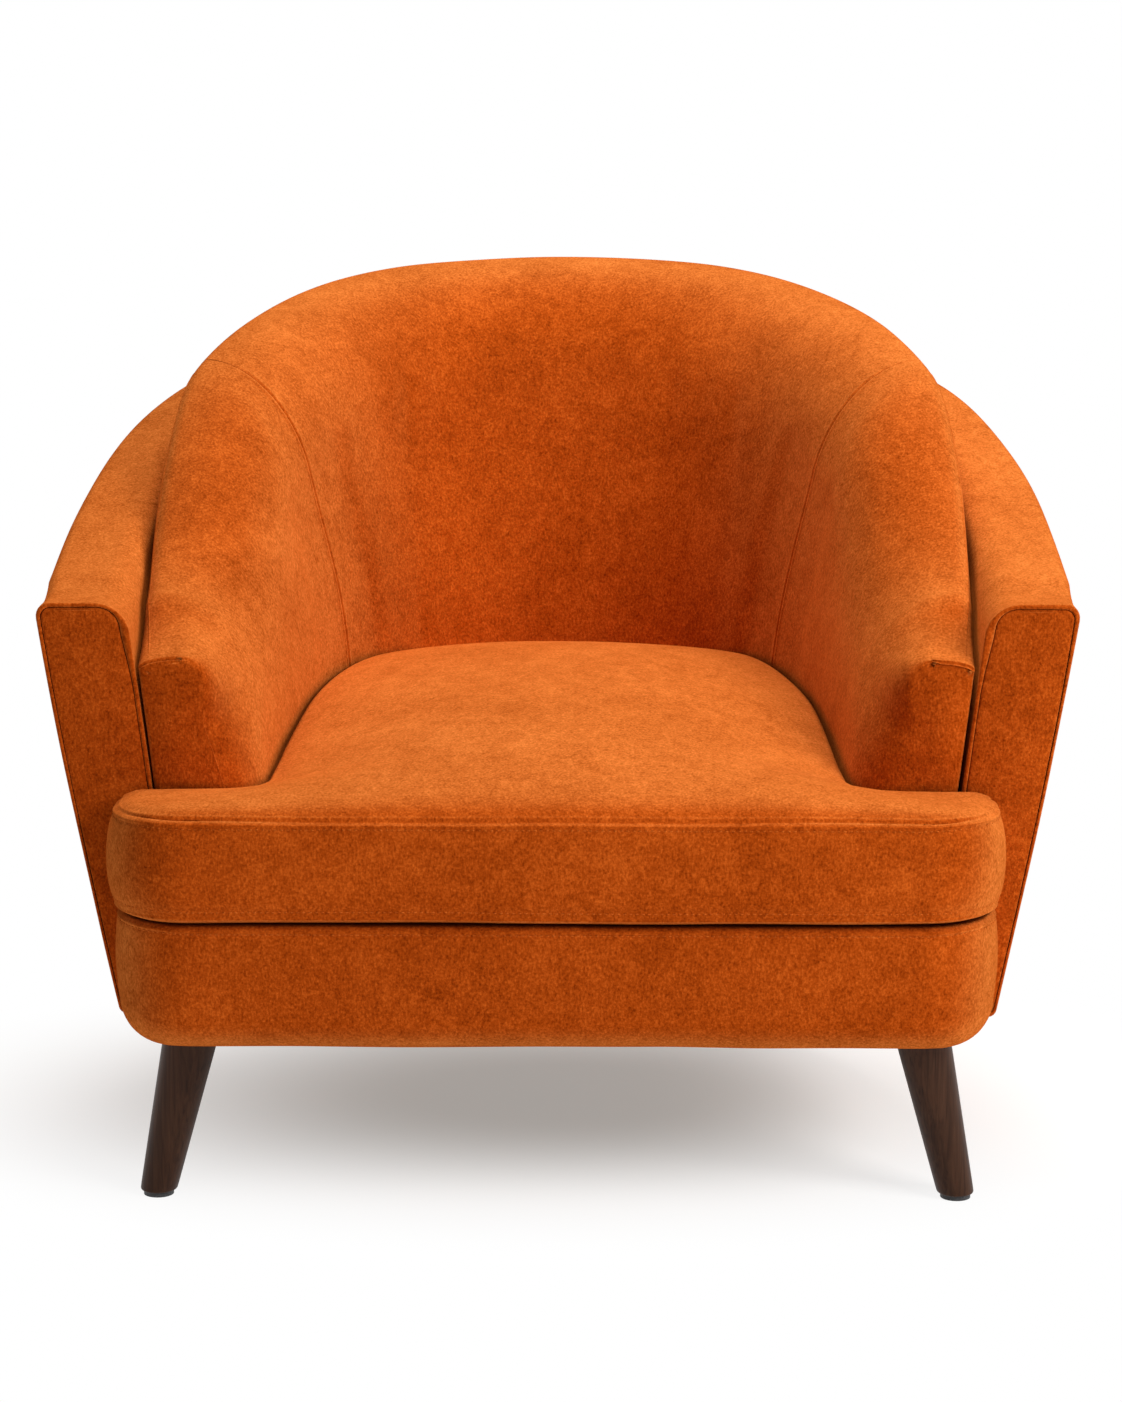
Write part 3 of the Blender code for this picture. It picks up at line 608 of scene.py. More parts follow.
def makeArmPad(sideName, side):
    start = form["seamTurn"] + seam["joint"] / form["turnLength"]
    rings = []
    for turn, draw, behind in zip(*frontWall(start, padForm["frontSteps"], padForm["armCount"])):
        drawn = armDraw(behind) if behind < np.inf else sewnDraw(draw)
        rings.append(padRing(side * turn, drawn, frontFall(behind)))
    rings = np.array(rings)
    face = endCap(rings[-1], 15)
    up = (face[..., 2] - cushionSeam) / (face[..., 2].max() - cushionSeam)
    swell = np.sin(np.pi * np.clip(up, 0, 1)) ** 0.5 * arch(face.shape[1])[None, :]
    face[:, :, 1] -= padForm["frontBulge"] * swell
    grids = [closeRing(rings), face, endCap(rings[0], 8)]
    node = "arm_pad_" + sideName.lower()
    addPiece("armCover" + sideName, grids, velvet, "chair", node, padForm["uneven"])


makeBackPad()
for sideName, side in sides.items():
    makeArmPad(sideName, side)
print("back and arms covered")

# Outer wings with sewn facings, and the outside back
wingForm = {
    "outerRound": 0.014,
    "innerRound": 0.027,
    "mostRound": (0.3, 0.6),  # of the wing's thickness, outside and inside
    "footRound": 0.006,
    "outerBulge": 0.009,
    "bulgePower": 2.5,
    "chain": 40,
    "wingCount": 60,
    "backCount": 90,
    "frontRound": 0.0022,
    "frontSteps": np.array([0, 0.2, 0.6, 1.3, 2.2, 3.4, 6, 12]) / 1000,
    "frontInset": 0.0030,
    "innerInset": 0.0078,
    "insetFade": (0.018, 0.060),
    "recessStart": (0.0003, 0.0001),  # inset and distance behind the front
    "recess": 0.0026,
    "facingRoll": [(0.0005, 0.0062), (0.0005, 0.0026), (0.0009, 0.0012), (0.0017, 0.0004), (0.0032, 0.0)],
    "facingDome": 0.0018,
    "uneven": (0.16, 0.0014, 5),
}


def wingChains(turn):
    top, low = wingTop(turn), form["baseBottom"]
    spots = shellPoint(np.array([turn, turn]), np.array([0.0, 1.0]), np.array([top, top]))
    thick = float(np.linalg.norm(spots[1] - spots[0]))
    outer = min(wingForm["outerRound"], thick * wingForm["mostRound"][0])
    inner = min(wingForm["innerRound"], thick * wingForm["mostRound"][1])
    crest = (inner + thick - outer) / 2
    foot = wingForm["footRound"]
    nearArc = arcPoints((foot, low + foot), (foot, foot), 270, 180, 5)
    farArc = arcPoints((thick - foot, low + foot), (foot, foot), -90, 0, 5)
    innerArc = arcPoints((inner, top - inner), (inner, inner), 180, 90, 12)
    outerArc = arcPoints((thick - outer, top - outer), (outer, outer), 0, 90, 8)
    count = wingForm["chain"] - 18
    near, far = [np.concatenate([[(thick / 2, low)], foots, linePoints(foots[-1], tops[0], rows)[1:-1],
                                 tops, [(crest, top)]])
                 for foots, tops, rows in ((nearArc, innerArc, count), (farArc, outerArc, count + 4))]
    share = np.clip((far[1:-1, 1] - low) / (form["wingFrontHeight"] - low), 0, 1)
    swell = wingForm["outerBulge"] * (1 - share ** wingForm["bulgePower"])
    far[1:-1, 0] += swell * (far[1:-1, 0] / thick) ** 4
    return near, far, thick


def wingRing(turn, drawn, innerDrawn=None):
    near, far, thick = wingChains(turn)
    section = np.concatenate([near, far[::-1]])
    depth = np.full(len(section), drawn)
    if innerDrawn is not None:  # the facing keeps further off the inner edge than off the top
        below = near[-1, 1] - near[:, 1]
        extra = ease(below / wingForm["innerRound"]) * (1 - rise(below, *wingForm["insetFade"]))
        depth[:len(near)] += (innerDrawn - drawn) * extra
    section = section - sectionNormals(section) * depth[:, None]
    return shellPoint(turn, section[:, 0] / thick, section[:, 1])


def roundDraw(radius, distance):
    left = max(radius - distance, 0)
    return radius - math.sqrt(max(radius**2 - left**2, 0))


def insetRing(side, inset, behind):
    turn = side * turnAt(armFrontY + behind)
    return wingRing(turn, wingForm["frontInset"] + inset, wingForm["innerInset"] + inset)


def makeWing(sideName, side):
    lower = sideName.lower()
    start = form["shellJoint"] + form["wallGap"] / form["turnLength"]
    rings = [wingRing(side * turn, draw + roundDraw(wingForm["frontRound"], behind))
             for turn, draw, behind in zip(*frontWall(start, wingForm["frontSteps"], wingForm["wingCount"]))]
    rings += [insetRing(side, *wingForm["recessStart"]), insetRing(side, 0.0, wingForm["recess"])]
    addCover("wingCover" + sideName, np.array(rings), 6, "wing_pad_" + lower, wingForm["uneven"])
    rings = np.array([insetRing(side, inset, behind) for inset, behind in wingForm["facingRoll"]])
    face = endCap(rings[-1], 13)
    face[:, :, 1] -= wingForm["facingDome"] * arch(face.shape[1])[None, :]
    grids = [closeRing(rings), face, endCap(rings[0], 3)]
    addPiece("wingFacing" + sideName, grids, velvet, "chair", "wing_facing_" + lower)


def makeOutsideBack():
    walls = sewnWall(form["shellJoint"] - form["wallGap"] / form["turnLength"], wingForm["backCount"])
    rings = np.array([wingRing(turn, draw) for turn, draw in zip(*walls)])
    addCover("outsideBackCover", rings, 6, "outside_back", wingForm["uneven"])


for sideName, side in sides.items():
    makeWing(sideName, side)
makeOutsideBack()
print("wings and outside back covered")

# Front band of the base
bandForm = {
    "overhang": -0.001,
    "hang": 0.0026,
    "setback": 0.006,
    "corner": 0.075,
    "lowerRound": 0.72,
    "upperRound": 0.20,
    "cornerSteps": 26,
    "frontSteps": 70,
    "seamDrop": 0.0075,
    "seamDepth": 0.0009,
    "seamWidth": 0.0012,
    "seamRows": np.array([-4, -2.6, -1.6, -0.8, 0, 0.8, 1.6, 2.6]) / 1000,
    "endSteps": np.array([0, 0.6, 1.6, 3.2, 5.5]) / 1000,
    "endRound": 0.004,
    "bulge": 0.0025,
    "uneven": (0.10, 0.0012, 12),
}
bandHalf = outerReach(form["baseBottom"])[0] + bandForm["overhang"]
bandFront = frontY + bandForm["setback"]


def bandRun(cornerCount, frontCount):
    # the band's face in plan, round both corners
    corner = bandForm["corner"]
    straight, y = bandHalf - corner, bandFront + corner
    return np.concatenate([
        arcPoints((-straight, y), (corner, corner), 180, 270, cornerCount),
        linePoints((-straight, bandFront), (straight, bandFront), frontCount)[1:-1],
        arcPoints((straight, y), (corner, corner), 270, 360, cornerCount),
    ])


def makeBand():
    inside = innerReach(form["baseTop"])[0] + form["padThick"] + form["wallGap"] / 2
    thick = bandHalf - inside
    endY = armFrontY - form["wallGap"]
    low, high = form["baseBottom"] - bandForm["hang"], form["baseTop"]
    outline = np.concatenate([
        [(-bandHalf, endY - step) for step in bandForm["endSteps"]],
        bandRun(bandForm["cornerSteps"], bandForm["frontSteps"]),
        [(bandHalf, endY - step) for step in bandForm["endSteps"][::-1]],
    ])
    innerX = np.clip(outline[:, 0], -inside, inside)
    inner = np.stack([innerX, np.maximum(outline[:, 1], bandFront + thick)], axis=1)
    lower, upper = bandForm["lowerRound"] * thick, bandForm["upperRound"] * thick
    seamZ, seamRows = high - bandForm["seamDrop"], bandForm["seamRows"]
    section = np.concatenate([
        linePoints((0, low), (thick - lower, low), 5)[:-1],
        arcPoints((thick - lower, low + lower), (lower, lower), 270, 360, 14),
        linePoints((thick, low + lower), (thick, seamZ + seamRows[0]), 16)[1:-1],
        [(thick, seamZ + row) for row in seamRows],
        arcPoints((thick - upper, high - upper), (upper, upper), 40, 90, 6),
        linePoints((thick - upper, high), (0, high), 5)[1:],
    ])
    heights = section[:, 1]
    groove = bandForm["seamDepth"] * bell(heights, seamZ, bandForm["seamWidth"])
    up = np.clip((heights - low - lower) / (seamZ - low - lower), 0, 1)
    swell = bandForm["bulge"] * np.sin(np.pi * up)
    section[:, 0] += np.where(section[:, 0] > 0.9 * thick, swell - groove, 0)
    rings = []
    for index in range(len(outline)):
        fromEnd = min(index, len(outline) - 1 - index)
        inset = 0.0
        if fromEnd < len(bandForm["endSteps"]):
            inset = roundDraw(bandForm["endRound"], bandForm["endSteps"][fromEnd])
        out = np.minimum(section[:, 0], thick + bandForm["bulge"] - inset)
        flat = blend(inner[index], outline[index], (out / thick)[:, None])
        rings.append(np.concatenate([flat, heights[:, None]], axis=1))
    rings = np.array(rings)
    if rings.shape[1] % 2:
        rings = np.concatenate([rings, rings[:, -1:]], axis=1)
    addCover("bandCover", rings, 4, "front_band", bandForm["uneven"])


makeBand()
print("front band covered")

# Loose T-shaped seat cushion; pairs are a start and a length, or a height and a width
cushionForm = {
    "clearance": 0.0018,
    "earInset": 0.019,
    "earRound": 0.024,
    "earFrontRound": 0.0735,
    "earDraw": 0.005,
    "bodyDraw": 0.0015,
    "bodyFrom": (-0.02, 0.10),
    "crown": 0.069,
    "frontRoll": 0.009,
    "bodyRoll": 0.003,
    "bodyLift": 0.006,
    "footLift": 0.0032,
    "rollWidth": 0.012,
    "rearFullness": 0.7,
    "frontPower": 3,
    "rearPower": 12,
    "boxingBulge": 0.0035,
    "leanLength": 0.2,
    "pullWidth": 0.02,
    "underRound": (0.004, 0.006),
    "groove": 0.0018,
    "grooveWidth": 0.0010,
    "ridge": 0.0011,
    "ridgeAt": 0.0027,
    "ridgeWidth": 0.0012,
    "bodySeam": 0.25,
    "frontRows": np.array([0, 1.0, 2.1, 3.2, 4.6, 6.6, 10, 15, 21]) / 1000,
    "frontStep": 0.008,
    "earStep": 0.004,
    "edgeColumns": np.array([0, 1.0, 2.1, 3.2, 4.6, 6.6, 10, 15, 21, 30]) / 1000,
    "columnStep": 0.010,
    "edgeShare": 0.45,
    "leastHalf": 0.004,
    "boxingRows": np.array([0, 0.8, 1.7, 2.7, 3.9, 5.1, 6.2, 7.4, 9.5, 14, 20, 27, 36]) / 1000,
    "middleColumns": 17,
    "stitchDrop": 0.0062,
    "stitchRise": 0.0098,
    "stitchDepth": 0.0007,
    "stitchWidth": 0.0011,
    "stitchedPoints": 26,  # of the outline, to just short of the ear's rear
    "uneven": (0.13, 0.0022, 20),
}
earHalf = outerReach(form["baseTop"])[0] - cushionForm["earInset"]
earBack = armFrontY - cushionForm["clearance"]
cushionRear = float(tub(0.0, -cushionForm["clearance"], cushionSeam)[1])
neckHalf = float(tub(1.0, -cushionForm["clearance"], cushionSeam)[0])
neckY = armFrontY + padForm["frontInner"][1]
mirrorX = np.array([-1, 1])


def cushionOutline():
    # right edge in plan, from the start of the front corner round the arm to the middle of the back
    big, small = cushionForm["earFrontRound"], cushionForm["earRound"]
    wide, long = padForm["frontInner"]  # the arm's rounded front corner
    gap = cushionForm["clearance"]
    armX = float(tub(turnAt(neckY), splay(turnAt(neckY)), cushionSeam)[0])
    turns = evenTurns(turnAt(neckY), 0.0, 54, cushionSeam)[1:]
    return np.concatenate([
        arcPoints((earHalf - big, frontY + big), (big, big), -90, 0, 18),
        linePoints((earHalf, frontY + big), (earHalf, earBack - small), 4)[1:],
        arcPoints((earHalf - small, earBack - small), (small, small), 0, 90, 8)[1:],
        linePoints((earHalf - small, earBack), (armX + wide, earBack), 8)[1:],
        arcPoints((armX + wide, neckY), (wide + gap, long + gap), 270, 180, 12)[1:],
        tub(turns, splay(turns) - gap, np.full(len(turns), cushionSeam))[:, :2],
    ])


def crownAt(x, y):
    share = np.clip((y - frontY) / (cushionRear - frontY), 0, 1)
    lengthwise = (1 - (1 - share) ** cushionForm["frontPower"]) * (1 - share ** cushionForm["rearPower"])
    ear = blend(earHalf, neckHalf, (y - frontY) / (earBack - frontY))
    body = neckHalf * (1 + cushionForm["rearFullness"] * rise(y, earBack, cushionRear - earBack))
    half = np.where(y < earBack, ear, body)
    return cushionForm["crown"] * lengthwise * (1 - np.minimum(np.abs(x) / half, 1) ** 2)


def bodyShare(y):
    # 0 over the ears and the front, 1 between the arms
    return rise(y - armFrontY, *cushionForm["bodyFrom"])


def boxingTall(line):
    x, y = line[..., 0], line[..., 1]
    return form["boxing"] + crownAt(x, y) + cushionForm["bodyLift"] * bodyShare(y)


def rimDraw(distance, share):
    # the rim's seam, weaker between the arms
    return seamDraw(distance, cushionForm) * (1 - (1 - cushionForm["bodySeam"]) * share)


def boxingRow(line, normal, drop):
    # one line round the boxing, a share of its height below the top seam
    share = bodyShare(line[:, 1])
    tall = boxingTall(line)
    foot = cushionForm["footLift"] * (1 - share)
    z = cushionLow + foot + (tall - foot) * (1 - drop)
    below, above = drop * tall, (1 - drop) * tall
    bow = cushionForm["boxingBulge"] * np.sin(np.pi * drop) * (1 - share)
    draw = blend(cushionForm["earDraw"], cushionForm["bodyDraw"], share) * np.abs(2 * drop - 1) ** 3
    width = cushionForm["stitchWidth"]
    sewn = bell(below, cushionForm["stitchDrop"], width) + bell(above, cushionForm["stitchRise"], width)
    sewnIn = rimDraw(np.minimum(below, above), share) + cushionForm["stitchDepth"] * sewn * (1 - share)
    flat = line + normal * (bow - draw - sewnIn)[:, None]
    leaning = rise(line[:, 1], armFrontY, cushionForm["leanLength"])
    flat[:, 1] += form["backLean"] * (z - cushionSeam) * leaning
    return np.concatenate([flat, z[:, None]], axis=1)


def boxingStrip(line):
    normal = lineNormals(line)
    drops = cushionForm["boxingRows"] / form["boxing"]
    drops = np.concatenate([drops, [0.5], 1 - drops[::-1]])
    return np.array([boxingRow(line, normal, drop) for drop in drops])


def cushionPlan(edge):
    # rows of plan points across the cushion, one for each point of its edge
    rows = frontY + cushionForm["frontRows"]
    earY = earBack - cushionForm["earStep"]
    ear = np.count_nonzero(edge[:, 1] < earBack + 1e-6)
    neck = np.count_nonzero(edge[:, 1] < neckY + 1e-6)
    centre = np.concatenate([
        rows,
        np.linspace(rows[-1] + cushionForm["frontStep"], earY, ear - len(rows)),
        np.linspace(earY, neckY, neck - ear + 1)[1:],
        np.linspace(neckY, cushionRear, len(edge) - neck + 1)[1:],
    ])
    columns = cushionForm["edgeColumns"]
    flat = []
    for (edgeX, edgeY), middle in zip(edge, centre):
        edgeX = max(edgeX, cushionForm["leastHalf"])
        near = columns[columns < cushionForm["edgeShare"] * edgeX]
        count = cushionForm["middleColumns"] + len(columns) - len(near)
        inward = np.linspace(near[-1] + cushionForm["columnStep"], edgeX, count)
        half = edgeX - np.concatenate([near, inward])
        half[-1] = 0
        x = np.concatenate([half, -half[-2::-1]])
        flat.append(np.stack([x, blend(middle, edgeY, (np.abs(x) / edgeX) ** 4)], axis=1))
    return np.array(flat)


def nearRim(points, edge):
    # distance of plan points from the cushion's rim, and how far the seam there is drawn in
    front = linePoints((-edge[0][0], frontY), (edge[0][0], frontY), 120)
    rim = spread(np.concatenate([front, edge[1:], edge[-2::-1] * mirrorX]), 3000)
    drawn = boxingRow(rim, lineNormals(rim), 0.0)[:, :2] - rim
    tree = treeOf(np.column_stack([rim, np.zeros(len(rim))]))
    found = [tree.find((x, y, 0)) for x, y in points]
    return np.array([f[2] for f in found]), drawn[[f[1] for f in found]]


def makeCushion():
    edge = cushionOutline()
    flat = cushionPlan(edge)
    shape = flat.shape[:2]
    distance, drawn = nearRim(flat.reshape(-1, 2), edge)
    distance = distance.reshape(shape)
    share = bodyShare(flat[..., 1])
    roll = blend(cushionForm["frontRoll"], cushionForm["bodyRoll"], share)
    roll = roll * (1 - np.exp(-distance / cushionForm["rollWidth"]))
    topZ = cushionLow + boxingTall(flat) + roll - rimDraw(distance, share)
    liftBy, liftWidth = cushionForm["underRound"]
    lowZ = cushionLow + liftBy * np.exp(-distance / liftWidth)
    right = boxingStrip(edge)
    left = right * np.array([-1, 1, 1])
    front = boxingStrip(flat[0][::-1])[:, ::-1]
    front[:, 0], front[:, -1] = right[:, 0], left[:, 0]
    flat = flat + drawn.reshape(*shape, 2) * np.exp(-distance / cushionForm["pullWidth"])[..., None]
    top, bottom = [np.concatenate([flat, z[..., None]], axis=2) for z in (topZ, lowZ)]
    for grid, row in ((top, 0), (bottom, -1)):
        grid[:, 0], grid[:, -1], grid[0] = right[row], left[row], front[row]
    grids = [top, bottom, right, left, front]
    addPiece("cushionCover", grids, velvet, "cushion", "seat_cushion", cushionForm["uneven"])


makeCushion()
print("seat cushion covered")

# Padding pressed into the covers by a cloth simulation; pairs under hold are a start and a length
plumpForm = {
    "frames": 20,
    "pressure": 4.0,
    "stiffness": 15.0,
    "bending": 0.5,
    "voxel": {"cushionCover": 0.010, "backCover": 0.013, "armCoverLeft": 0.012, "armCoverRight": 0.012},
    "cap": {"cushionCover": 0.008, "backCover": 0.004, "armCoverLeft": 0.003, "armCoverRight": 0.003},
    "near": 8,
    "hold": {
        "cushionLow": (-0.02, 0.02),
        "cushionRim": (0.004, 0.07),
        "low": (-0.01, 0.05),
        "crest": (0.005, 0.05),
        "seam": (0.01, 0.15),
        "front": (0.03, 0.08),
    },
}


def tubPlace(points):
    # the turn of a point round the tub and how far out of its inner face it lies
    across, rear = innerReach(points[:, 2])
    power = form["planPower"]
    u = np.abs(points[:, 0]) / across
    v = np.maximum(points[:, 1] - curveY, 0) / rear
    out = ((u**power + v**power) ** (1 / power) - 1) * (across + rear) / 2
    return np.arctan2(u ** (power / 2), v ** (power / 2)) / (np.pi / 2), out


def heldShare(name, points):
    # 1 where a cover is sewn down or hidden, 0 where it is free to swell
    hold = plumpForm["hold"]
    height = points[:, 2] - cushionSeam
    if name == "cushionCover":
        rim = nearRim(points[:, :2], cushionOutline())[0]
        return 1 - np.minimum(rise(height, *hold["cushionLow"]), rise(rim, *hold["cushionRim"]))
    turn, out = tubPlace(points)
    offSeam = np.abs(turn - form["seamTurn"] - seamShift(points[:, 2]))
    spans = {"low": height, "seam": offSeam, "front": points[:, 1] - armFrontY}
    free = np.min([rise(x, *hold[part]) for part, x in spans.items()], axis=0)
    return np.maximum(1 - free, rise(out, *hold["crest"]))


def meshPoints(mesh):
    return np.array([vert.co[:] for vert in mesh.vertices])


def startCloth(cover):
    soft = newObject("soft" + cover.name, cover.data.copy())
    remesh = soft.modifiers.new("even", "REMESH")
    remesh.mode = "VOXEL"
    remesh.voxel_size = plumpForm["voxel"][cover.name]
    even = bpy.data.meshes.new_from_object(soft.evaluated_get(bpy.context.evaluated_depsgraph_get()))
    soft.modifiers.clear()
    soft.data = even
    points = meshPoints(even)
    group = soft.vertex_groups.new(name="held")
    for index, held in enumerate(heldShare(cover.name, points)):
        group.add([index], float(held), "REPLACE")
    cloth = soft.modifiers.new("cloth", "CLOTH")
    cloth.settings.quality = 4
    cloth.settings.tension_stiffness = plumpForm["stiffness"]
    cloth.settings.compression_stiffness = plumpForm["stiffness"]
    cloth.settings.bending_stiffness = plumpForm["bending"]
    cloth.settings.use_pressure = True
    cloth.settings.uniform_pressure_force = plumpForm["pressure"]
    cloth.settings.vertex_group_mass = "held"
    cloth.settings.effector_weights.gravity = 0
    cloth.collision_settings.use_collision = False
    cloth.point_cache.frame_end = plumpForm["frames"]
    return soft, points


def plump():
    started = {name: startCloth(covers[name]) for name in plumpForm["voxel"]}
    for step in range(1, plumpForm["frames"] + 1):
        bpy.context.scene.frame_set(step)
    graph = bpy.context.evaluated_depsgraph_get()
    for name, (soft, points) in started.items():
        moved = meshPoints(soft.evaluated_get(graph).to_mesh()) - points
        length = np.linalg.norm(moved, axis=1, keepdims=True)
        cap = plumpForm["cap"][name]
        moved = unit(moved) * cap * np.tanh(length / cap)
        tree = treeOf(points)
        mesh = covers[name].data
        free = 1 - heldShare(name, meshPoints(mesh))
        for vert, share in zip(mesh.vertices, free):
            found = tree.find_n(vert.co, plumpForm["near"])
            weight = np.array([1 / (f[2] ** 2 + 1e-5) for f in found])
            shift = (moved[[f[1] for f in found]] * weight[:, None]).sum(axis=0) / weight.sum()
            vert.co += Vector(shift * share)
        mesh.update()
        print("plumped", name, "by up to", round(float(length.max()) * 1000, 1), "mm before the cap")
        bpy.data.objects.remove(soft)
    bpy.context.scene.frame_set(1)


plump()

# Sewing on the finished covers: topstitching and raised seams
sewnForm = {
    "pitch": 0.0052,
    "stitch": 0.0034,
    "thread": 0.00055,
    "stitchShape": np.array([0, 0.55, 0.9, 1, 0.9, 0.55, 0]),
    "stitchSteps": 20,
    "stitchLift": 0.9,
    "stitchSink": 0.55,
    "ridge": 0.0011,
    "ridgeSink": 0.0005,
    "sides": 8,
    "armSlope": math.radians(40),
    "armSeamEnds": (0.02, 0.012),  # turn after the back seam, distance behind the front
    "frontSeamIn": 0.0016,
    "frontSeamEnds": (0.030, 0.030),  # below the arm's top, above its foot
    "tuck": ((-0.3070, 0.425), (-0.2905, 0.369)),  # short dart in the left arm's front, top and foot
    "tuckProud": 0.003,
}
threadShades = [(0.36, 0.055, 0.005), (0.56, 0.105, 0.011), (0.74, 0.17, 0.02)]
thread = makeVelvet("rustThread", dict(velvetLook, shades=threadShades))


def laidOn(cover, points):
    mesh = covers[cover].data
    polygons = [face.vertices[:] for face in mesh.polygons]
    skin = BVHTree.FromPolygons([vert.co for vert in mesh.vertices], polygons)
    found = [skin.find_nearest(Vector(point)) for point in points]
    return np.array([f[0][:] for f in found]), np.array([f[1][:] for f in found])


def tubeGrid(points, normals, radii):
    side = unit(np.cross(unit(np.gradient(points, axis=0)), normals))
    angle = np.linspace(0, 2 * np.pi, sewnForm["sides"] + 1)
    ring = side[:, None] * np.cos(angle)[None, :, None] + normals[:, None] * np.sin(angle)[None, :, None]
    return points[:, None] + ring * np.asarray(radii)[:, None, None]


def stitchRow(name, path, cover, body="chair"):
    steps, shape = sewnForm["stitchSteps"], sewnForm["stitchShape"]
    count = int(float(runAlong(path)[-1]) / sewnForm["pitch"])
    line = spread(path, count * steps + 1)
    reach = int(steps * sewnForm["stitch"] / sewnForm["pitch"])
    starts = range(0, count * steps, steps)
    parts = [spread(line[start:start + reach + 1], len(shape)) for start in starts]
    points, normals = [rows.reshape(count, -1, 3) for rows in laidOn(cover, np.concatenate(parts))]
    lift = sewnForm["thread"] * (sewnForm["stitchLift"] * shape - sewnForm["stitchSink"])
    points = points + normals * lift[None, :, None]
    grids = [tubeGrid(*spot, sewnForm["thread"] * shape) for spot in zip(points, normals)]
    addPiece(name, grids, thread, body, weld=1e-6)


def raisedSeam(name, path, cover, radius=1.0):
    points, normals = laidOn(cover, path)
    count = len(points)
    taper = np.minimum(np.linspace(0, 1, count), np.linspace(1, 0, count)) * count / 4
    radii = sewnForm["ridge"] * radius * np.sqrt(np.clip(taper, 0, 1))
    grid = tubeGrid(points - normals * sewnForm["ridgeSink"] * radius, normals, radii)
    addPiece(name, [grid], velvet, "chair", weld=1e-6)


def sewCushion():
    # two rows along the front of the cushion's rim, from one ear's side to the other's
    right = cushionOutline()[:cushionForm["stitchedPoints"]]
    front = linePoints((-right[0][0], frontY), (right[0][0], frontY), 120)
    line = spread(np.concatenate([right[:0:-1] * mirrorX, front, right[1:]]), 600)
    normal = lineNormals(line)
    tall = boxingTall(line)
    drops = {"Top": cushionForm["stitchDrop"] / tall, "Low": 1 - cushionForm["stitchRise"] / tall}
    for row, drop in drops.items():
        stitchRow("cushionStitch" + row, boxingRow(line, normal, drop), "cushionCover", "cushion")


def sewBand():
    line = bandRun(40, 200)
    height = np.full((len(line), 1), form["baseTop"] - bandForm["seamDrop"])
    stitchRow("bandStitch", np.concatenate([line, height], axis=1), "bandCover")


def sewArm(sideName, side):
    cover = "armCover" + sideName
    slope = sewnForm["armSlope"]
    afterSeam, behindFront = sewnForm["armSeamEnds"]
    turns = evenTurns(form["seamTurn"] + afterSeam, turnAt(armFrontY + behindFront), 160)
    inner, tall = crestShape(turns)
    out = inner + (lip - padForm["slit"] - inner) * math.cos(slope)
    heights = settle(padTop, side * turns) - tall * (1 - math.sin(slope))
    heights = heights - frontFall((turnAt(armFrontY) - turns) * form["turnLength"])
    raisedSeam("armSeam" + sideName, tub(slant(side * turns, heights), out, heights), cover)
    below, above = sewnForm["frontSeamEnds"]
    heights = np.linspace(form["armHeight"] - below, padLow + above, 80)
    inside = sewnForm["frontSeamIn"]
    front = tub(side * turnAt(armFrontY + inside), np.full(80, lip - inside), heights)
    raisedSeam("armFrontSeam" + sideName, front, cover, 0.8)


sewCushion()
sewBand()
for sideName, side in sides.items():
    sewArm(sideName, side)
tuckLine = linePoints(*sewnForm["tuck"], 40)
tuckPath = np.insert(tuckLine, 1, armFrontY - sewnForm["tuckProud"], axis=1)
raisedSeam("armTuckLeft", tuckPath, "armCoverLeft", 0.6)
print("covers sewn")


def makeHard(name, look, texture):
    # timber, steel, nylon and cloth: colour, roughness and relief all follow the textures
    material, add, fill, shader = newMaterial(name)
    tone, cloud, relief = texture(add, look)
    rough = add("MapRange", {"Value": cloud, "To Min": look["roughness"][0], "To Max": look["roughness"][1]})
    fill(shader, {
        "Base Color": addRamp(add, tone, look["rampEnds"], (look["dark"], look["light"])),
        "Roughness": rough.outputs["Result"],
        "Normal": addBump(add, relief, *look["bump"]),
        "Metallic": look["metallic"],
        "Specular IOR Level": look["gloss"],
    })
    return material


def woodGrain(add, look):
    along = addStretch(add, ownPlace(add), look["grainScale"])
    pores = addNoise(add, along, 2.6, 2.0, 0.5, 0.0)
    return addNoise(add, along, 1.0, 6.0, 0.62, 0.8), pores, pores


def speckle(add, look):
    # cells and noise together: spangle on plated steel, fibres in felt, dots in pressed cloth, a moulded skin
    place = ownPlace(add)
    cells = add("TexVoronoi", {"Vector": place, "Scale": look["scale"]}).outputs["Distance"]
    cloud = addNoise(add, place, look["scale"] / 6, 5.0, 0.65, 0.8)
    tone = addMath(add, "MULTIPLY_ADD", cells, look["cellShare"], cloud)
    return tone, cloud, tone


# Turned legs
legForm = {
    "top": 0.0255,
    "foot": 0.0165,
    "rings": 24,
    "sides": 64,
    "ease": 0.0022,
    "headClear": 0.002,
    "headEase": [(0.0008, 0.0006), (0.0018, 0.0)],  # in from the rim and below the top
}
woodLook = {
    "dark": (0.030, 0.0115, 0.0055),
    "light": (0.080, 0.034, 0.0170),
    "rampEnds": (0.32, 0.72),
    "roughness": (0.36, 0.52),
    "gloss": 0.14,
    "metallic": 0.0,
    "bump": (0.12, 0.0004),
    "grainScale": (260, 260, 7),
}
walnut = makeHard("walnut", woodLook, woodGrain)


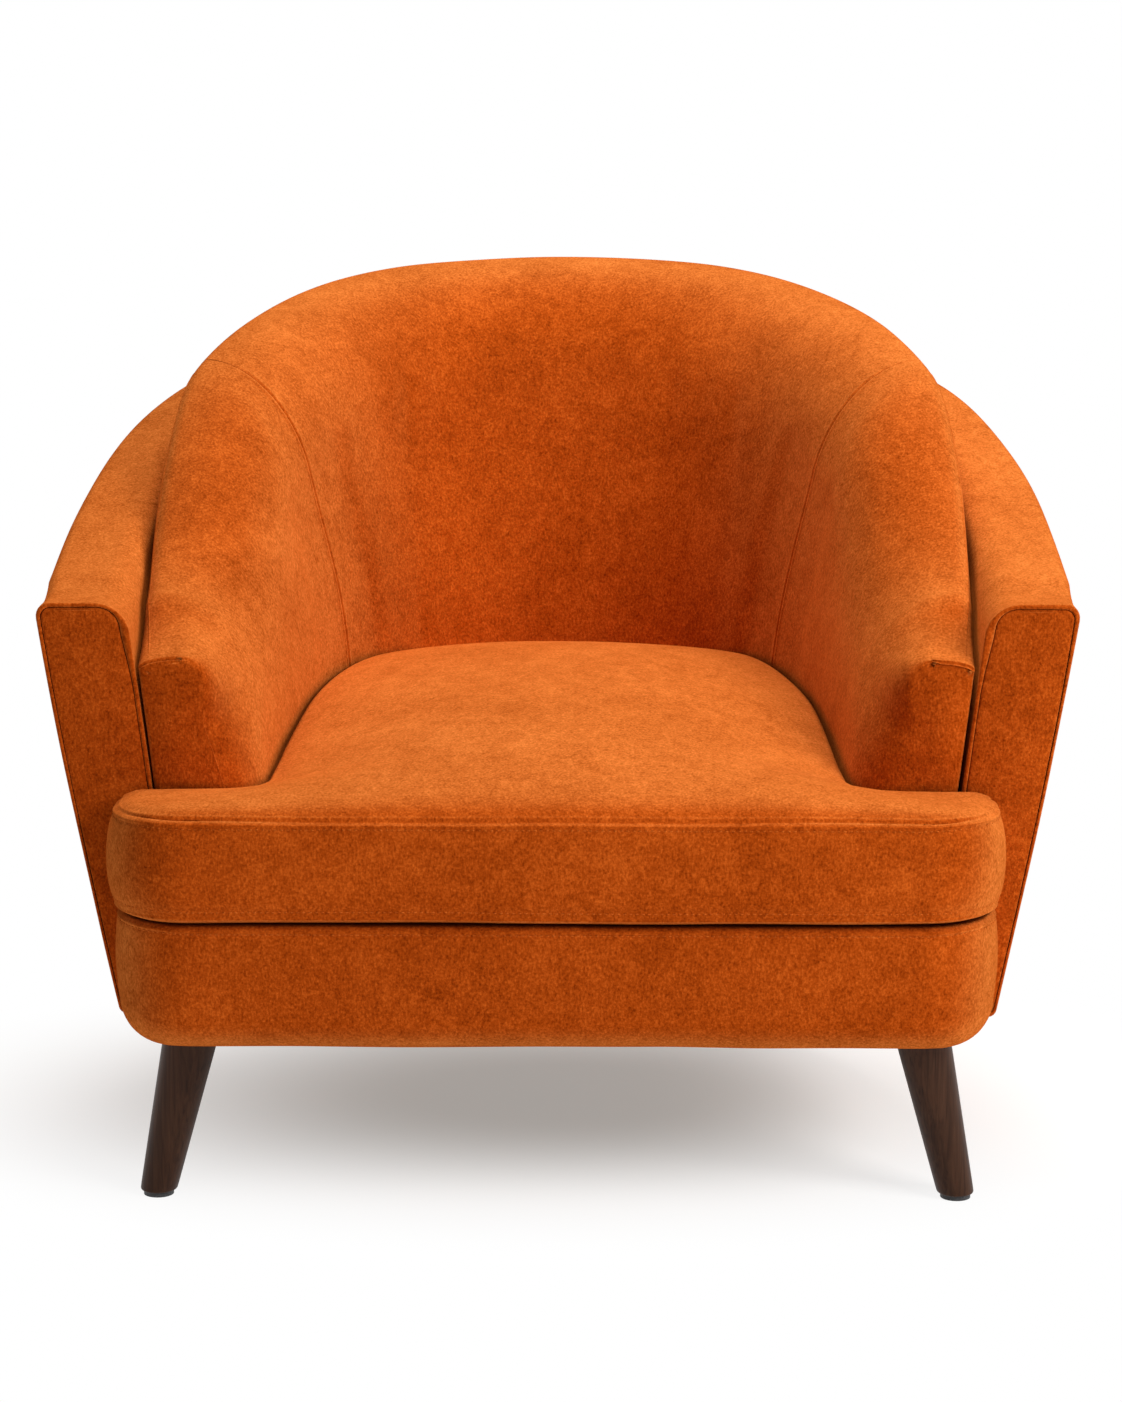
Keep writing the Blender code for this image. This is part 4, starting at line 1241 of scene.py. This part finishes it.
def makeLeg(corner):
    node = "leg_" + corner
    points = meshPoints(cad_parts[node].data)
    low, high = points[:, 2].min(), points[:, 2].max()
    foot = points[points[:, 2] < low + 1e-4].mean(axis=0)
    rim = points[points[:, 2] > high - 1e-4]
    radii = np.linalg.norm(rim[:, :2] - rim[:, :2].mean(axis=0), axis=1)
    crest = rim[radii > 0.6 * radii.max()]
    head = (crest.min(axis=0) + crest.max(axis=0)) / 2
    soft, footRound, topRound = legForm["ease"], legForm["foot"], legForm["top"]
    profile = [(0.0, low), (footRound - soft, low)]
    profile += [tuple(p) for p in arcPoints((footRound - soft, low + soft), (soft, soft), -70, 0, 6)]
    shank = linePoints((footRound, low), (topRound, high), legForm["rings"])
    profile += [tuple(p) for p in shank if low + 2 * soft < p[1] < high - legForm["headClear"]]
    profile += [(topRound - inward, high - drop) for inward, drop in legForm["headEase"]] + [(0.0, high)]
    angle = np.linspace(0, 2 * np.pi, legForm["sides"] + 1)
    rings = []
    for r, z in profile:
        x, y = blend(foot[:2], head[:2], (z - low) / (high - low))
        rings.append(np.stack([x + r * np.cos(angle), y + r * np.sin(angle), np.full(len(angle), z)], axis=1))
    addPiece("turnedLeg_" + corner, [np.array(rings)], walnut, "chair", node)


for corner in ("front_left", "front_right", "rear_left", "rear_right"):
    makeLeg(corner)
print("legs turned")

# Timber, steel, nylon and cloth under the covers
beechLook = dict(woodLook, dark=(0.36, 0.215, 0.105), light=(0.60, 0.41, 0.23), roughness=(0.54, 0.70),
                 gloss=0.30)
# painted shade: the arm and back panels' plywood is a near-black brown so that the slit beside each wing
# reads dark
plywoodPaintedShadeLook = dict(woodLook, dark=(0.050, 0.022, 0.010), light=(0.105, 0.052, 0.025), roughness=(0.59, 0.75),
                   gloss=0.10)
speckleLook = {"rampEnds": (0.42, 0.85), "cellShare": 0.35, "metallic": 0.0}
steelLook = dict(speckleLook, dark=(0.30, 0.30, 0.32), light=(0.56, 0.56, 0.58), roughness=(0.26, 0.46),
                 scale=160, metallic=1.0, bump=(0.05, 0.0006), gloss=0.5)
nylonLook = dict(speckleLook, dark=(0.022, 0.022, 0.023), light=(0.060, 0.060, 0.062), roughness=(0.42, 0.62),
                 scale=340, bump=(0.16, 0.0006), gloss=0.4)
feltLook = dict(speckleLook, dark=(0.20, 0.18, 0.155), light=(0.47, 0.43, 0.38), roughness=(0.90, 1.0),
                scale=620, bump=(0.60, 0.0006), gloss=0.1)
dustLook = dict(speckleLook, dark=(0.010, 0.010, 0.011), light=(0.034, 0.034, 0.037), roughness=(0.80, 0.95),
                scale=900, bump=(0.45, 0.0006), gloss=0.2)
beechAcross = makeHard("beechAcross", dict(beechLook, grainScale=(7, 260, 260)), woodGrain)
beechAlong = makeHard("beechAlong", dict(beechLook, grainScale=(260, 7, 260)), woodGrain)
plywood = makeHard("plywood", plywoodPaintedShadeLook, woodGrain)
steel = makeHard("platedSteel", steelLook, speckle)
nylon = makeHard("blackNylon", nylonLook, speckle)
felt = makeHard("deckFelt", feltLook, speckle)
dustCloth = makeHard("dustCloth", dustLook, speckle)
finishes = {
    "front_rail": beechAcross,
    "rear_rail": beechAcross,
    "spring_rail": beechAcross,
    "side_rail_": beechAlong,
    "leg_block_": beechAlong,
    "arm_panel_": plywood,
    "back_panel": plywood,
    "leg_plate_": steel,
    "leg_bolt_": steel,
    "spring_": steel,
    "glide_": nylon,
    "cushion_zip": nylon,
}
for nodeName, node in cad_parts.items():
    match = next((start for start in finishes if nodeName.startswith(start)), None)
    if match:
        node.material_slots[0].material = finishes[match]

sheetForm = {
    "step": 0.024,
    "deckQuilt": 0.0012,
    "quiltPitch": 0.11,
    "dustSag": 0.006,
    "dustRipple": 0.0012,
    "rippleSize": 0.09,
}


def makeSheet(name, node, material, lower):
    # a copy of the flat cut, divided into a fine grid and then drawn down by a rule
    bm = bmesh.new()
    bm.from_mesh(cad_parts[node].data)
    bmesh.ops.remove_doubles(bm, verts=bm.verts, dist=1e-5)
    bmesh.ops.dissolve_limit(bm, angle_limit=0.01, verts=bm.verts, edges=bm.edges)
    low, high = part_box(node)
    for axis in (0, 1):
        normal = Vector((1 - axis, axis, 0))
        count = round((high[axis] - low[axis]) / sheetForm["step"])
        for place in np.linspace(low[axis], high[axis], count + 1)[1:-1]:
            parts = bm.verts[:] + bm.edges[:] + bm.faces[:]
            bmesh.ops.bisect_plane(bm, geom=parts, plane_co=normal * float(place), plane_no=normal)
    area = sum(face.calc_area() for face in bm.faces if face.normal.z > 0.9)
    for vert in bm.verts:
        vert.co.z -= lower(vert.co, [(vert.co[i] - low[i]) / (high[i] - low[i]) for i in range(3)])
    bmesh.ops.recalc_face_normals(bm, faces=bm.faces)
    mesh = bpy.data.meshes.new(name)
    bm.to_mesh(mesh)
    bm.free()
    piece = placePiece(name, mesh, material, "chair", node)


def quilted(point, share):
    # the deck's upper side is sewn down in squares
    pitch = sheetForm["quiltPitch"]
    wave = math.sin(math.pi * point.x / pitch) * math.sin(math.pi * point.y / pitch)
    return sheetForm["deckQuilt"] * share[2] * (1 - abs(wave) ** 0.5)


def sagging(point, share):
    # the dust cover hangs a little between its stapled edges
    across, along = 2 * share[0] - 1, 2 * share[1] - 1
    hang = max(1 - across**2, 0) * max(1 - along**2, 0)
    ripple = sheetForm["dustRipple"] * noise.noise(Vector((point.x, point.y, 0)) / sheetForm["rippleSize"])
    return (sheetForm["dustSag"] + ripple) * hang


makeSheet("deckSheet", "seat_deck", felt, quilted)
makeSheet("dustSheet", "dust_cover", dustCloth, sagging)
print("frame finished")

# Camera as fitted to the photograph
shot = {
    "place": (0.040, -3.21, 1.015),
    "tilt": 79.0,
    "turn": 0.77,
    "focalPixels": 3417,
    "photoWidth": 1122,
    "photoHeight": 1402,
    "axisPixels": 557.5,
    "sensor": 36,
}
camera = newObject("camera", bpy.data.cameras.new("camera"))
camera.location = shot["place"]
camera.rotation_euler = (math.radians(shot["tilt"]), 0, math.radians(shot["turn"]))
camera.data.sensor_fit = "VERTICAL"
camera.data.sensor_height = shot["sensor"]
camera.data.lens = shot["focalPixels"] * shot["sensor"] / shot["photoHeight"]
camera.data.shift_x = (shot["photoWidth"] / 2 - shot["axisPixels"]) / shot["photoHeight"]
bpy.context.scene.camera = camera

# Light and floor; each lamp has its place, size and power
studio = {
    "worldLevel": 0.135,
    "worldColour": (1.0, 0.985, 0.97),
    "lamps": {
        "keyLamp": ((1.82, -1.58, 1.70), 1.2, 51),
        "topLamp": ((0.20, 0.30, 3.1), 1.4, 69),
        "fillLamp": ((-1.5, -2.4, 0.9), 1.4, 4),
    },
    "lampTarget": (0, 0, 0.4),
    "floorHalf": 30,
    "floorColour": (0.90, 0.88, 0.86),
    "floorRoughness": 0.9,
    "floorGlow": 0.34,
    "floorGlowColour": (1.0, 0.93, 0.87),
    "floorReach": (0.08, 0.46),
    "floorStretch": (0.62, 1.0, 1.0),
}
for name, (place, size, power) in studio["lamps"].items():
    lamp = newObject(name, bpy.data.lights.new(name, "AREA"))
    lamp.data.size = size
    lamp.data.energy = power
    lamp.location = place
    aim = Vector(studio["lampTarget"]) - Vector(place)
    lamp.rotation_euler = aim.to_track_quat("-Z", "Y").to_euler()


def seenDirectly(add):
    # 1 for camera, mirror and glass rays
    path = add("LightPath", {}).outputs
    seen = addMath(add, "MAXIMUM", path["Is Camera Ray"], path["Is Glossy Ray"])
    return addMath(add, "MAXIMUM", seen, path["Is Transmission Ray"])


world = bpy.data.worlds.new("studio")
bpy.context.scene.world = world
world.use_nodes = True
world.node_tree.nodes.clear()
add = nodeTools(world.node_tree)[0]
light = add("Background", {"Color": (*studio["worldColour"], 1), "Strength": studio["worldLevel"]})
white = add("Background", {"Color": (1, 1, 1, 1)})
mixed = add("MixShader", {"Fac": seenDirectly(add), 1: light.outputs[0], 2: white.outputs[0]})
add("OutputWorld", {"Surface": mixed.outputs[0]})

half = studio["floorHalf"]
floorMesh = bpy.data.meshes.new("floor")
floorCorners = [(-half, -half, 0), (half, -half, 0), (half, half, 0), (-half, half, 0)]
floorMesh.from_pydata(floorCorners, [], [(0, 1, 2, 3)])
floor = newObject("floor", floorMesh)
floorPaint, add, fill, shader = newMaterial("paleFloor")
paint = {"Base Color": (*studio["floorColour"], 1), "Roughness": studio["floorRoughness"]}
fill(shader, {**paint, "Specular IOR Level": 0.0})
place = addStretch(add, ownPlace(add), studio["floorStretch"])
reach = add("VectorMath", {0: place}, operation="LENGTH").outputs["Value"]
seen = seenDirectly(add)
dim = addMath(add, "MULTIPLY", seen, studio["floorGlow"])
glow = add("Emission", {"Color": (*studio["floorGlowColour"], 1), "Strength": dim})
near = add("AddShader", {0: shader.outputs[0], 1: glow.outputs[0]})
white = add("Emission", {})
far = addMath(add, "MULTIPLY", seen, addRange(add, reach, studio["floorReach"]))  # plain white off the chair
mixed = add("MixShader", {"Fac": far, 1: near.outputs[0], 2: white.outputs[0]})
fill(floorPaint.node_tree.nodes["Material Output"], {"Surface": mixed.outputs[0]})
floorMesh.materials.append(floorPaint)
bpy.context.scene.view_settings.view_transform = "Standard"
print("studio set")
